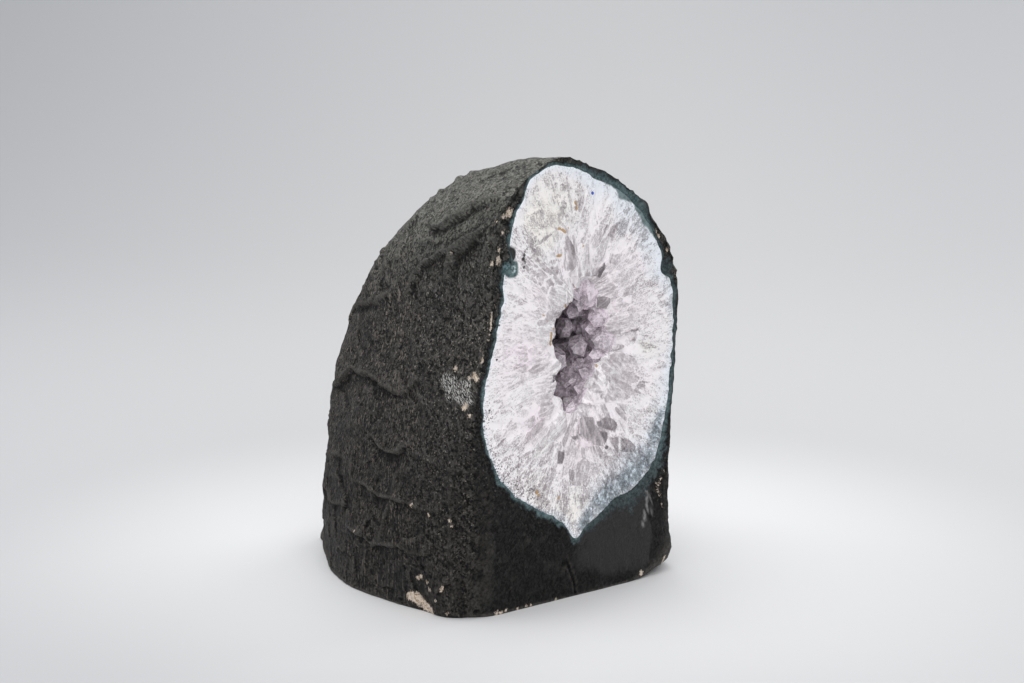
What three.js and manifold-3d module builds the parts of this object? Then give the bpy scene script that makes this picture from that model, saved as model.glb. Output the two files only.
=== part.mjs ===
// A quartz geode that stands on its sawn foot, in millimetres, +Z up, with its sawn face looking towards -Y.
// A dark rock shell holds the pale quartz behind the sawn face, and small crystals line the hollow at its middle.
import * as THREE from "three";
import { ParametricGeometry } from "three/addons/geometries/ParametricGeometry.js";
import { mergeGeometries, mergeVertices } from "three/addons/utils/BufferGeometryUtils.js";
import Module from "manifold-3d";

const wasm = await Module();
wasm.setup();

// Driving dimensions. Every outline below is drawn at this size and scales with it.
const HEIGHT = 160;
const DRAWN_HEIGHT = 160;
const SCALE = HEIGHT / DRAWN_HEIGHT;
const QUARTZ_DEPTH = 68;
const HOLLOW_DEPTH = 36;
const CRUST = 4.5;
const GAP = 0.3;

// The sawn face's edge, from the left foot over the top to the right foot, as [x, z].
const ARCH = [
  [-51, 0], [-51, 30], [-50.5, 52], [-48.5, 68], [-46, 81], [-43, 93], [-39.5, 107], [-38, 124],
  [-35, 138], [-28, 149], [-16, 156.7], [-6, 159.8], [5, 156.5], [17, 152], [29, 144], [38, 135],
  [45.7, 124], [50.5, 114], [51.8, 101], [50.3, 84], [48.6, 60], [48.8, 30], [51, 0],
];
// The foot's edge, from the left front corner round the back to the right front corner, as [x, y].
const FOOT = [
  [-51, 0], [-53.5, 20], [-55.5, 42], [-55, 58], [-51.5, 74], [-46.5, 87], [-40, 98.5], [-31, 110.5],
  [-17, 120.5], [2, 126], [22, 123], [39, 113], [51, 96], [58, 74], [60, 50], [57, 24], [51, 0],
];
const FORM_CENTRE = 2;
// How square the dome is between those two edges: 2 is an ellipse, and more is fuller.
// It is an ellipse at the two points where the edges meet, fuller over the top and fullest at the sides.
const FULLNESS_ENDS = 2.0;
const FULLNESS_SIDES = 2.34;
const FULLNESS_TOP = [2.12, 2.44];

// The quartz's edge on the sawn face, as [x, z], once round from the right by way of the top.
const QUARTZ_EDGE = [
  [48, 90], [48, 104], [46.5, 112], [42, 115], [42, 122], [39, 127], [35, 134], [29, 140], [21, 146],
  [11, 150.5], [4, 154], [-3, 156.5], [-10, 157], [-16, 155.5], [-22, 152], [-25, 146], [-29, 138],
  [-30.5, 129], [-29, 125], [-33, 120], [-33.5, 113], [-35, 105], [-37, 97], [-40, 88], [-42, 80],
  [-43, 73], [-42, 65], [-39, 57], [-35, 48.5], [-27, 41], [-18, 36], [-10, 31.5], [-4, 26.5],
  [1, 21.5], [5, 24.5], [12, 29], [18, 33], [27, 35.5], [35, 40], [41, 48], [44, 58], [46, 68], [47.5, 79],
];
const QUARTZ_CENTRE = [3, 90];
// The hollow's mouth, drawn the same way.
const MOUTH_EDGE = [
  [18, 90], [16.5, 96], [13, 103], [9.5, 112], [1, 112.5], [0, 107], [-5, 104], [-8.5, 98], [-8, 92],
  [-6.5, 86], [-8, 81.5], [-11, 79.5], [-8.5, 75.5], [-4, 72.5], [-2.5, 68], [2, 68.5], [5, 73], [9, 80],
  [14, 85],
];
const MOUTH_CENTRE = [3, 91];
const HOLLOW_BELLY = 1.12;

// The two front corners are worn round in plan: where the flank begins and the radius, as [z, x, radius].
const LEFT_CORNER = [
  [0, -51, 16], [4, -51, 14.7], [8, -51, 14], [22, -51, 13], [42, -51, 12], [64, -51, 6], [84, -51, 1.2],
  [170, -51, 1.2],
];
const RIGHT_CORNER = [
  [0, 51, 26], [4, 51.6, 12], [8, 51.6, 7], [22, 51, 5], [42, 51, 3], [64, 52, 1.2], [84, 54, 1.2],
  [170, 54, 1.2],
];
const CORNER_STEPS = 8;
const CORNER_LEAN = [7, 20];

// Centres of the chipped scales that can be told apart on the left flank.
const FLANK_SCALES = [
  [-38, 84, 86], [-43, 53, 85], [-43, 82, 62], [-50, 48, 63], [-50, 24, 65], [-47, 80, 48], [-53, 51, 46],
  [-53, 26, 45], [-52, 74, 28], [-56, 51, 28], [-55, 26, 29], [-53, 72, 9], [-56, 46, 9], [-55, 24, 12],
  [-38, 76, 100], [-40, 51, 104], [-42, 25, 98], [-47, 19, 80],
].map((p) => new THREE.Vector3(...p));
const SCALE_SPACING = 19;
const SCALE_LEDGE = 0.11;
const SCALE_DISH = 0.011;
const SCALE_EDGE = 0.9;
const SCALE_TOP = [104, 122];
// Raised wrinkles on the upper flank.
const WRINKLES = [
  [[-36, 12, 134], [-37, 21, 130], [-37, 30, 126], [-38, 41, 121], [-38, 46, 116], [-39, 47, 110]],
  [[-37, 22, 128], [-38, 26, 123], [-39, 25, 117]],
  [[-32, 26, 143], [-34, 37, 136], [-35, 50, 131], [-35, 62, 122]],
  [[-22, 14, 152], [-26, 28, 149], [-26, 42, 144]],
  [[-35, 84, 101], [-37, 74, 103], [-38, 64, 101]],
].map((line) => line.map((p) => new THREE.Vector3(...p)));
const WRINKLE_HEIGHT = 1.3;
const WRINKLE_WIDTH = 2.6;
// Broad lumps: height, then how far one wave reaches along x, y and z, then where it starts.
const LUMPS = [
  [1.1, 19, 23, 27, 0.6], [0.9, 13, 15, 17, 2.1], [0.6, 8.5, 10, 9.5, 4.0],
];

// Mesh counts
const DOME_STEPS = [64, 36];
const QUARTZ_STEPS = [60, 8];
const HOLLOW_STEPS = [26, 7];

// The hollow's crystals
const CRYSTAL_ROWS = 5;
const CRYSTAL_SPACING = 8.4;
const CRYSTAL_SIDES = 6;

const smooth = THREE.MathUtils.smoothstep;
const lerp = THREE.MathUtils.lerp;

// A repeatable number from 0 to 1 for a place in a sequence.
function chance(place) {
  const wave = Math.sin(place * 12.9898 + 4.1414) * 43758.5453;
  return wave - Math.floor(wave);
}

// Cubic through the values at rising angles, with slopes taken across each value's neighbours.
function throughPoints(angles, values, slopes) {
  return (angle) => {
    let k = 0;
    while (k < angles.length - 2 && angle > angles[k + 1]) k += 1;
    const span = angles[k + 1] - angles[k];
    const t = THREE.MathUtils.clamp((angle - angles[k]) / span, 0, 1);
    const t2 = t * t;
    const t3 = t2 * t;
    return (
      (2 * t3 - 3 * t2 + 1) * values[k] +
      (t3 - 2 * t2 + t) * span * slopes[k] +
      (3 * t2 - 2 * t3) * values[k + 1] +
      (t3 - t2) * span * slopes[k + 1]
    );
  };
}

function slopesOf(angles, values) {
  return values.map((_, i) => {
    const before = Math.max(i - 1, 0);
    const after = Math.min(i + 1, values.length - 1);
    return (values[after] - values[before]) / (angles[after] - angles[before]);
  });
}

// Distance from FORM_CENTRE of an edge that runs from -X (angle 0) to +X (angle pi).
function halfEdge(points) {
  const angles = points.map(([x, y]) => Math.atan2(y, FORM_CENTRE - x));
  const values = points.map(([x, y]) => Math.hypot(x - FORM_CENTRE, y));
  return throughPoints(angles, values, slopesOf(angles, values));
}

// Distance from a centre of an edge that goes all the way round.
function closedEdge(points, [cx, cz]) {
  const turn = 2 * Math.PI;
  const sorted = points
    .map(([x, z]) => [(Math.atan2(z - cz, x - cx) + turn) % turn, Math.hypot(x - cx, z - cz)])
    .sort((a, b) => a[0] - b[0]);
  const last = sorted.at(-1);
  const looped = [
    [last[0] - turn, last[1]],
    ...sorted,
    ...sorted.slice(0, 2).map(([a, r]) => [a + turn, r]),
  ];
  const angles = looped.map((p) => p[0]);
  const values = looped.map((p) => p[1]);
  const radius = throughPoints(angles, values, slopesOf(angles, values));
  return (angle) => radius(((angle % turn) + turn) % turn);
}

const archRadius = halfEdge(ARCH);
const footRadius = halfEdge(FOOT);
const quartzRadius = closedEdge(QUARTZ_EDGE, QUARTZ_CENTRE);
const mouthRadius = closedEdge(MOUTH_EDGE, MOUTH_CENTRE);

// The dome before its relief: round is the angle from the left foot over to the right foot,
// and back the angle from the sawn face down to the foot's plane.
function plainDome(round, back) {
  const a = archRadius(round);
  const b = footRadius(round);
  const top = lerp(...FULLNESS_TOP, smooth(back, 0.1, 0.7));
  const beside = lerp(FULLNESS_SIDES, top, Math.sin(round) ** 6);
  const fullness = lerp(FULLNESS_ENDS, beside, smooth(Math.sin(round), 0, 0.3));
  const along = Math.abs(Math.cos(back)) / a;
  const away = Math.abs(Math.sin(back)) / b;
  const reach = (along ** fullness + away ** fullness) ** (-1 / fullness);
  const outward = new THREE.Vector3(
    -Math.cos(round),
    Math.sin(round) * Math.sin(back),
    Math.sin(round) * Math.cos(back),
  );
  return { outward, point: outward.clone().multiplyScalar(reach).setX(FORM_CENTRE + outward.x * reach) };
}

// Scale centres over the rest of the dome, on a spiral of even spacing, clear of the flank's own.
function otherScales() {
  const found = [];
  const golden = Math.PI * (3 - Math.sqrt(5));
  const wanted = 150;
  for (let i = 0; i < wanted; i += 1) {
    const height = 1 - (2 * (i + 0.5)) / wanted;
    const ring = Math.sqrt(1 - height * height);
    const turned = i * golden;
    const [x, y, z] = [height, ring * Math.cos(turned), ring * Math.sin(turned)];
    if (y < 0 || z < 0) continue;
    const { point } = plainDome(Math.acos(-x), Math.atan2(y, z));
    point.x += (chance(i) - 0.5) * 6;
    point.z += (chance(i + 0.5) - 0.5) * 6;
    if (FLANK_SCALES.every((s) => s.distanceTo(point) > SCALE_SPACING * 0.8)) found.push(point);
  }
  return found;
}

const SCALES = [...FLANK_SCALES, ...otherScales()];

function distanceToLine(p, line) {
  let nearest = Infinity;
  const segment = new THREE.Line3();
  const foot = new THREE.Vector3();
  for (let i = 0; i + 1 < line.length; i += 1) {
    segment.set(line[i], line[i + 1]).closestPointToPoint(p, true, foot);
    nearest = Math.min(nearest, foot.distanceTo(p));
  }
  return nearest;
}

// Each scale is slightly dished and leans out towards its lower lip, so that it ends in a ledge over the next one.
function scaleHeight(p) {
  const distances = SCALES.map((s) => s.distanceTo(p));
  const nearest = Math.min(...distances);
  let sum = 0;
  let weights = 0;
  distances.forEach((d, i) => {
    const weight = Math.exp((nearest - d) / SCALE_EDGE);
    const lean = -SCALE_LEDGE * (p.z - SCALES[i].z) + SCALE_DISH * d * d * 0.5;
    sum += weight * lean;
    weights += weight;
  });
  return sum / weights;
}

// How far the surface stands out from the plain dome.
function relief(p) {
  const lumps = LUMPS.reduce(
    (sum, [height, x, y, z, start]) =>
      sum + height * Math.sin(p.x / x + start) * Math.sin(p.y / y + 2 * start) * Math.cos(p.z / z - start),
    0,
  );
  const scaled = (1 - smooth(p.z, ...SCALE_TOP)) * smooth(p.y, 1, 12);
  const wrinkles = WRINKLES.reduce(
    (sum, line) => sum + WRINKLE_HEIGHT * Math.exp(-((distanceToLine(p, line) / WRINKLE_WIDTH) ** 2)),
    0,
  );
  return lumps * smooth(p.y, 0, 20) + scaleHeight(p) * scaled + wrinkles * smooth(p.y, 2, 10);
}

function domePoint(round, back) {
  const { outward, point } = plainDome(round, back);
  return point.addScaledVector(outward, relief(point));
}

// A solid from closed faces, with its shared vertices merged and its collapsed triangles dropped.
function solidOf(...faces) {
  const bare = faces.map((face) => {
    const copy = face.clone();
    copy.deleteAttribute("normal");
    copy.deleteAttribute("uv");
    return copy;
  });
  const merged = mergeVertices(mergeGeometries(bare), 1e-3);
  const kept = [];
  const index = merged.index.array;
  for (let i = 0; i < index.length; i += 3) {
    const [a, b, c] = index.slice(i, i + 3);
    if (a !== b && b !== c && c !== a) kept.push(a, b, c);
  }
  const make = (triVerts) =>
    new wasm.Manifold(
      new wasm.Mesh({ numProp: 3, vertProperties: merged.attributes.position.array, triVerts }),
    );
  const made = make(new Uint32Array(kept));
  if (made.volume() > 0) return made;
  for (let i = 0; i < kept.length; i += 3) [kept[i], kept[i + 1]] = [kept[i + 1], kept[i]];
  return make(new Uint32Array(kept));
}

function patch(pointAt, [across, along]) {
  return new ParametricGeometry((u, v, target) => target.copy(pointAt(u, v)), across, along);
}

// The natural stone, which runs on a little past both saw cuts and is closed beyond them.
function naturalStone() {
  const [across, along] = DOME_STEPS;
  const past = 0.07;
  const reach = ARCH.at(-1)[0];
  const beyond = new THREE.Vector3(0, -12, -12);
  const pointAt = (u, v) => {
    if (v < 0.5 / along || v > 1 - 0.5 / along) return beyond.clone().setX(lerp(-reach, reach, u));
    const back = lerp(-past, Math.PI / 2 + past, (v * along - 1) / (along - 2));
    return domePoint(u * Math.PI, back);
  };
  return solidOf(patch(pointAt, DOME_STEPS));
}

// The block that the two saw cuts leave: flat in front and below, with its front corners worn round,
// and wider than the stone everywhere else.
function sawnBlock() {
  const [outward, backward] = CORNER_LEAN;
  const arc = (centreX, radius, from) =>
    Array.from({ length: CORNER_STEPS + 1 }, (_, i) => {
      const turned = from + (i / CORNER_STEPS) * (Math.PI / 2);
      return [centreX + radius * Math.cos(turned), radius + radius * Math.sin(turned)];
    });
  const plans = LEFT_CORNER.map(([, left, leftRadius], level) => {
    const [, right, rightRadius] = RIGHT_CORNER[level];
    return [
      [left - outward * 7, leftRadius + backward * 7],
      ...arc(left + leftRadius, leftRadius, Math.PI),
      ...arc(right - rightRadius, rightRadius, Math.PI * 1.5),
      [right + outward * 7, rightRadius + backward * 7],
    ];
  });
  const levels = LEFT_CORNER.map(([z]) => z);
  const sides = plans[0].length;
  const middle = new THREE.Vector3(0, 60, 0);
  const pointAt = (u, v) => {
    const row = Math.round(v * (levels.length + 1)) - 1;
    const level = THREE.MathUtils.clamp(row, 0, levels.length - 1);
    if (row !== level) return middle.clone().setZ(levels[level]);
    const [x, y] = plans[level][Math.round(u * sides) % sides];
    return new THREE.Vector3(x, y, levels[level]);
  };
  return solidOf(patch(pointAt, [sides, levels.length + 1]));
}

// A bowl behind the sawn face: its section shrinks from the given edge to a point at its depth.
// The part of v below the lip goes straight forward to a closing disc at y = front.
function bowl(radiusAt, [cx, cz], depth, grow, front, steps, belly = 1) {
  const lip = 2 / steps[1];
  const pointAt = (u, v) => {
    const angle = (u === 1 ? 0 : u) * 2 * Math.PI;
    const edge = radiusAt(angle) + grow;
    const turned = THREE.MathUtils.clamp((v - lip) / (1 - lip), 0, 1) * (Math.PI / 2);
    const widened = 1 + (belly - 1) * Math.sin(Math.min(turned * 2.4, Math.PI));
    const shrunk = v < lip / 2 ? 0 : v >= 1 ? 0 : Math.cos(turned) ** 0.85 * widened;
    const y = v < lip ? (v < lip * 0.75 ? front : 0) : (depth + grow) * Math.sin(turned);
    return new THREE.Vector3(cx + edge * shrunk * Math.cos(angle), y, cz + edge * shrunk * Math.sin(angle));
  };
  return solidOf(patch(pointAt, steps));
}

const quartzBowl = (grow, front) =>
  bowl(quartzRadius, QUARTZ_CENTRE, QUARTZ_DEPTH, grow, front, QUARTZ_STEPS);
const hollowBowl = (grow, front) =>
  bowl(mouthRadius, MOUTH_CENTRE, HOLLOW_DEPTH, grow, front, HOLLOW_STEPS, HOLLOW_BELLY);

// A six-sided quartz point, from its sunk root up to its tip along +Y.
function crystal(radius, length, root) {
  const profile = [
    [0, -root], [radius, -root], [radius, length - radius * 1.1], [0, length],
  ].map(([x, y]) => new THREE.Vector2(x, y));
  return new THREE.LatheGeometry(profile, CRYSTAL_SIDES);
}

// Crystals stand on the crust in rings from the mouth to the hollow's end, and point at its middle.
function crystals() {
  const points = [];
  const middle = new THREE.Vector3(MOUTH_CENTRE[0], HOLLOW_DEPTH * 0.3, MOUTH_CENTRE[1]);
  let count = 0;
  for (let row = 0; row < CRYSTAL_ROWS; row += 1) {
    const turned = ((row + 0.25) / CRYSTAL_ROWS) * (Math.PI / 2);
    const shrunk = Math.cos(turned) ** 0.85 * (1 + (HOLLOW_BELLY - 1) * Math.sin(Math.min(turned * 2.4, Math.PI)));
    const about = 2 * Math.PI * 16 * shrunk;
    const number = Math.max(3, Math.round(about / CRYSTAL_SPACING));
    for (let i = 0; i < number; i += 1) {
      count += 1;
      const angle = ((i + 0.5 * (row % 2) + 0.3 * chance(count)) / number) * 2 * Math.PI;
      const edge = mouthRadius(angle) * shrunk;
      const root = new THREE.Vector3(
        MOUTH_CENTRE[0] + edge * Math.cos(angle),
        HOLLOW_DEPTH * Math.sin(turned),
        MOUTH_CENTRE[1] + edge * Math.sin(angle),
      );
      const aim = middle.clone().sub(root).normalize();
      aim.x += (chance(count + 0.2) - 0.5) * 0.5;
      aim.y += (chance(count + 0.4) - 0.5) * 0.5;
      aim.z += (chance(count + 0.6) - 0.5) * 0.5;
      const radius = lerp(2.6, 4.2, chance(count + 0.8));
      const geometry = crystal(radius, lerp(0.95, 1.5, chance(count + 0.9)) * radius, CRUST * 0.6);
      geometry.rotateY(chance(count + 0.1) * Math.PI);
      geometry.applyQuaternion(
        new THREE.Quaternion().setFromUnitVectors(new THREE.Vector3(0, 1, 0), aim.normalize()),
      );
      points.push(solidOf(geometry.translate(root.x, root.y, root.z)));
    }
  }
  return wasm.Manifold.union(points);
}

// Everything behind the sawn face, as far back as anything reaches.
function behindFace() {
  const far = 4 * HEIGHT;
  return solidOf(new THREE.BoxGeometry(far, far, far).translate(0, far / 2, 0));
}

function meshOf(name, solid, material) {
  const { numProp, vertProperties, triVerts } = solid.getMesh();
  const positions = new Float32Array((vertProperties.length / numProp) * 3);
  for (let i = 0; i * numProp < vertProperties.length; i += 1) {
    positions.set(vertProperties.subarray(i * numProp, i * numProp + 3), i * 3);
  }
  const geometry = new THREE.BufferGeometry();
  geometry.setAttribute("position", new THREE.BufferAttribute(positions, 3));
  geometry.setIndex(new THREE.BufferAttribute(new Uint32Array(triVerts), 1));
  geometry.computeVertexNormals();
  const mesh = new THREE.Mesh(geometry, material);
  mesh.name = name;
  return mesh;
}

const rock = new THREE.MeshStandardMaterial({ color: 0x2b2b2a, roughness: 0.78, metalness: 0 });
const quartz = new THREE.MeshStandardMaterial({ color: 0xd9d4dc, roughness: 0.35, metalness: 0 });
const amethyst = new THREE.MeshStandardMaterial({ color: 0x8a8090, roughness: 0.2, metalness: 0 });

const front = -5;
const body = naturalStone().intersect(sawnBlock());
const shell = body.subtract(quartzBowl(GAP, front));
const filling = quartzBowl(0, 0).subtract(hollowBowl(CRUST + GAP, front));
const lining = hollowBowl(CRUST, 0)
  .subtract(hollowBowl(0, front))
  .add(crystals().intersect(hollowBowl(CRUST * 0.8, 0)))
  .intersect(behindFace());

const geode = new THREE.Group();
geode.add(
  meshOf("rock_shell", shell, rock),
  meshOf("quartz_body", filling, quartz),
  meshOf("crystal_crust", lining, amethyst),
);
// The origin is the middle of the box round the stone, on the foot's plane.
const box = new THREE.Box3().setFromObject(geode);
const middle = box.getCenter(new THREE.Vector3());
geode.position.set(-middle.x, -middle.y, 0).multiplyScalar(SCALE);
geode.scale.setScalar(SCALE);

export default geode;
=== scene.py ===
import bpy
import numpy as np
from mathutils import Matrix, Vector


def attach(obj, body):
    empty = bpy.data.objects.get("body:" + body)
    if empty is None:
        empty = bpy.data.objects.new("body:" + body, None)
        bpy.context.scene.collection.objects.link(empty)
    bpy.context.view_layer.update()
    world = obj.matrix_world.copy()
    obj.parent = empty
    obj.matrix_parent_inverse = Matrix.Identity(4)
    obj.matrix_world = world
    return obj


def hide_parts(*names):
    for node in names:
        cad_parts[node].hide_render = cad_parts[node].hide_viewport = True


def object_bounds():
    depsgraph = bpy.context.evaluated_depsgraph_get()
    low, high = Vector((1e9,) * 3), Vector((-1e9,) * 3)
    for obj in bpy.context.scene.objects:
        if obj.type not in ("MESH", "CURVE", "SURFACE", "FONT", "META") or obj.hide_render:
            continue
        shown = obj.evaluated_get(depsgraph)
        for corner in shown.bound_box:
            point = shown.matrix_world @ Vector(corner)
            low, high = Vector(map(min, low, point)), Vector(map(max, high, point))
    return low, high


# A standing geode: a painted rock shell with a sawn face of quartz and a hollow of amethyst points.
# Lengths are millimetres as the stone is drawn: x along the sawn face, y back from it, z up from the foot.
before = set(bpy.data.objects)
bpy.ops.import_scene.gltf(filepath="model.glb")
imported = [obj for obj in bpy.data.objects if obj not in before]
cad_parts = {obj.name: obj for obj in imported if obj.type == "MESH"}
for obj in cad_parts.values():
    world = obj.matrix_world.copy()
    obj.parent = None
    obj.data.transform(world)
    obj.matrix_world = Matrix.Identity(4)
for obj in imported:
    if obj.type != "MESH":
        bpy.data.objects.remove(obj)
part_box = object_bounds()

# The stone's drawing, set into the part's frame
DRAWN_ORIGIN = np.array([-1.8823, -66.5596, 0.0])
# Times a point, this leaves out how far behind the sawn face it lies
ONTO_FACE = np.array([1.0, 0.0, 1.0])
ARCH = [
    (-51, 0), (-51, 30), (-50.5, 52), (-48.5, 68), (-46, 81), (-43, 93), (-39.5, 107), (-38, 124), (-35, 138),
    (-28, 149), (-16, 156.7), (-6, 159.8), (5, 156.5), (17, 152), (29, 144), (38, 135), (45.7, 124),
    (50.5, 114), (51.8, 101), (50.3, 84), (48.6, 60), (48.8, 30), (51, 0),
]
FOOT = [
    (-51, 0), (-53.5, 20), (-55.5, 42), (-55, 58), (-51.5, 74), (-46.5, 87), (-40, 98.5), (-31, 110.5),
    (-17, 120.5), (2, 126), (22, 123), (39, 113), (51, 96), (58, 74), (60, 50), (57, 24), (51, 0),
]
FORM_CENTRE = 2.0
FULLNESS_ENDS = 2.0
FULLNESS_SIDES = 2.34
FULLNESS_TOP = (2.12, 2.44)
QUARTZ_EDGE = [
    (48, 90), (48, 104), (46.5, 112), (42, 115), (42, 122), (39, 127), (35, 134), (29, 140), (21, 146),
    (11, 150.5), (4, 154), (-3, 156.5), (-10, 157), (-16, 155.5), (-22, 152), (-25, 146), (-29, 138),
    (-30.5, 129), (-29, 125), (-33, 120), (-33.5, 113), (-35, 105), (-37, 97), (-40, 88), (-42, 80),
    (-43, 73), (-42, 65), (-39, 57), (-35, 48.5), (-27, 41), (-18, 36), (-10, 31.5), (-4, 26.5), (1, 21.5),
    (5, 24.5), (12, 29), (18, 33), (27, 35.5), (35, 40), (41, 48), (44, 58), (46, 68), (47.5, 79),
]
QUARTZ_CENTRE = (3.0, 90.0)
MOUTH_EDGE = [
    (18, 90), (16.5, 96), (13, 103), (9.5, 112), (1, 112.5), (0, 107), (-5, 104), (-8.5, 98), (-8, 92),
    (-6.5, 86), (-8, 81.5), (-11, 79.5), (-8.5, 75.5), (-4, 72.5), (-2.5, 68), (2, 68.5), (5, 73), (9, 80),
    (14, 85),
]
MOUTH_CENTRE = (3.0, 91.0)
QUARTZ_DEPTH = 68.0
HOLLOW_DEPTH = 36.0
HOLLOW_BELLY = 1.12
CRUST = 4.5
# How a bowl behind the face narrows, and how soon its belly is widest
BOWL_FALL = 0.85
BELLY_TURN = 2.4

# Worn edges: [z, radius] of the two front corners, and the radius of every other edge
LEFT_CORNER = [(0, 16), (8, 14), (22, 13), (42, 12), (64, 6), (84, 1.6), (170, 1.6)]
RIGHT_CORNER = [(0, 26), (4, 12), (8, 7), (22, 5), (42, 3), (64, 1.6), (170, 1.6)]
FOOT_WEAR = 0.9

# Relief of the rind
FLANK_SCALES = np.array([
    (-38, 84, 86), (-43, 53, 85), (-43, 82, 62), (-50, 48, 63), (-50, 24, 65), (-47, 80, 48), (-53, 51, 46),
    (-53, 26, 45), (-52, 74, 28), (-56, 51, 28), (-55, 26, 29), (-53, 72, 9), (-56, 46, 9), (-55, 24, 12),
    (-38, 76, 100), (-40, 51, 104), (-42, 25, 98), (-47, 19, 80),
], float)
SCALE_SPACING = 19.0
SCALE_LEDGE = 0.11
SCALE_DISH = 0.011
SCALE_EDGE = 0.5
SCALE_TOP = (104, 122)
# Paint that ran and set in thick ridges, as points on the rind with the ridge's height and half width
WRINKLES = [
    ([(-35.8, 8.9, 136), (-36.9, 11.5, 134.4), (-37, 15.2, 132.4), (-37.7, 20, 129.9),
      (-38.2, 23.7, 127.9), (-37.6, 29.6, 126.2), (-37.8, 34.6, 124), (-37.8, 39.3, 121.4),
      (-38.2, 42.9, 118.2), (-39.1, 45.3, 114.4), (-39.7, 47, 110.3)], 2, 1.3),
    ([(-38.3, 23.7, 127), (-38.3, 24.2, 124), (-38.9, 24.6, 121.1), (-39.3, 24.2, 117.7)], 2, 1.5),
    ([(-38.2, 23.7, 127.9), (-37.6, 28.6, 127.4), (-37.4, 34, 126.6), (-37.4, 38.7, 125),
      (-37.8, 42.1, 122.8)], 0.9, 1.1),
    ([(-26.3, 54.1, 137.7), (-28.1, 57.1, 134.3), (-31, 58.8, 130), (-34.4, 57.4, 125.9),
      (-35.7, 58.8, 121.5)], 1.5, 2),
    ([(-31.9, 15.9, 143.5), (-31.7, 11.8, 144.8), (-30.6, 8.8, 146), (-29.7, 6.7, 147.1)], 1.3, 1.4),
    ([(-36, 35.8, 129.8), (-35.6, 38.5, 129.9), (-35.3, 44.2, 128.6)], 0.9, 0.9),
    ([(-37.5, 55.4, 111.7), (-38.9, 58.4, 109), (-38.5, 65.2, 105.2)], 1.4, 1.8),
    ([(-22, 30, 149), (-18, 24, 152.5), (-15, 15, 154.5)], 1.2, 1.6),
    ([(-30, 70, 122), (-34, 66, 117), (-37, 60, 112)], 0.8, 1.3),
    ([(-12, 36, 152), (-18, 40, 148.5), (-24, 42, 144)], 0.8, 1.3),
]
# Small knobs that stand out along the outline: place, height and radius
KNOBS = [
    ((-10, 46, 151), 1.2, 1.8), ((-13.5, 49, 149), 1.5, 1.6), ((-19.6, 52.5, 144.7), 1.6, 1.8),
    ((-22.1, 54.2, 141.8), 1.1, 1.8), ((-29.2, 75, 121.3), 1.2, 1.7), ((-32, 74.3, 117.5), 1.4, 1.6),
    ((-34.5, 80, 108), 1.5, 2), ((-37, 90, 88), 1.2, 2.2), ((-3, 47, 152), 1, 2), ((-1, 2, 159.2), 1, 1.5),
    ((5, 2.5, 159.5), 1, 1.6), ((11, 2, 158.6), 0.9, 1.4), ((17, 2.5, 155.6), 0.9, 1.5),
]
# Broad swellings: height, spacing of the waves along x, y and z, and where they start
LUMPS = [(1.1, 19, 23, 27, 0.6), (0.9, 13, 15, 17, 2.1), (0.6, 8.5, 10, 9.5, 4.0)]

# Broken lips on the left flank, as (y, z): the rock above each line overhangs the rock below it
LEDGES = [
    ([(97, 98), (85, 100), (78, 102), (71, 103.5), (66, 104)], 1.3),
    ([(103, 67), (96, 68), (88, 73), (82, 77), (72, 77), (63, 78), (56, 77), (49, 75.5), (39, 74.5),
      (33, 80)], 1.9),
    ([(61, 40), (53, 39.5), (46, 38.5), (40, 38), (36, 39)], 1.6),
    ([(36, 39), (30, 38.5), (22, 37)], 0.8),
    ([(64, 22), (58, 21.5), (53, 21), (46, 19), (43, 20.5)], 1.6),
    ([(46, 19), (37, 21), (31, 22), (26, 20)], 0.8),
    ([(58, 59), (50, 56), (42, 54), (36, 54.5), (31, 58)], 1.4), ([(92, 49), (82, 45), (74, 46)], 1.2),
    ([(90, 30), (80, 27), (72, 29)], 1.2),
    ([(9.5, 145.5), (15.3, 142.9), (19.1, 142.2), (21.6, 140.7), (25, 139), (27.7, 137.4), (30.4, 136.2),
      (33.5, 134.5), (37.5, 133.5), (42, 135)], 2.2),
    ([(8, 132.5), (15.3, 129.6), (20.6, 124.6), (22.6, 122)], 1.2),
    ([(30, 74.3), (26.3, 70), (23, 66.6)], 0.4),
]
# Thin ridges between the hollows that the breaks left, as (y, z)
RIDGES = [
    ([(36, 39), (35, 43), (35, 47), (32.5, 52)], 1.1), ([(43, 20.5), (40.5, 27), (40, 32), (36, 39)], 1.2),
    ([(52, 17), (53, 13), (54, 6)], 0.9), ([(64, 40), (66, 48), (63, 56)], 0.8),
    ([(68, 21), (70, 29), (66, 38)], 0.8), ([(30, 98), (28, 88), (27, 78)], 0.5),
    ([(27, 74), (23, 62), (19, 52)], 0.6),
    ([(8, 55), (7.3, 48), (7.9, 42), (8.4, 35), (7.8, 28), (6.9, 19), (6, 12), (5.5, 6)], 0.7),
]

# Grids
ROUND_STEPS = 390
BACK_STEPS = 180
RING_STEPS = 30
QUARTZ_COLUMNS = 760
QUARTZ_ROWS = 108
CRUST_ROWS = 16
HOLLOW_ROWS = 22
# What counts as the distance from the quartz where the rind isn't on the sawn face
OFF_FACE = 60.0

# The photograph's viewpoint: to the left of the sawn face and a little above
VIEW_TURN = np.deg2rad(-40)
VIEW_TILT = np.deg2rad(9.5)
VIEW_PLACE = np.array([-466.6, -520.5, 210.9])
VIEW_LENS = 70.0


def smooth(x, low, high):
    """0 below low, 1 above high, and 3t^2 - 2t^3 between them."""
    t = np.clip((x - low) / (high - low), 0, 1)
    return t * t * (3 - 2 * t)


def blend(a, b, share):
    return a + (b - a) * share


def chance(place):
    """A repeatable number from 0 to 1 for each place in a sequence: the fraction of a large sine."""
    wave = np.sin(place * 12.9898 + 4.1414) * 43758.5453
    return wave - np.floor(wave)


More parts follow.
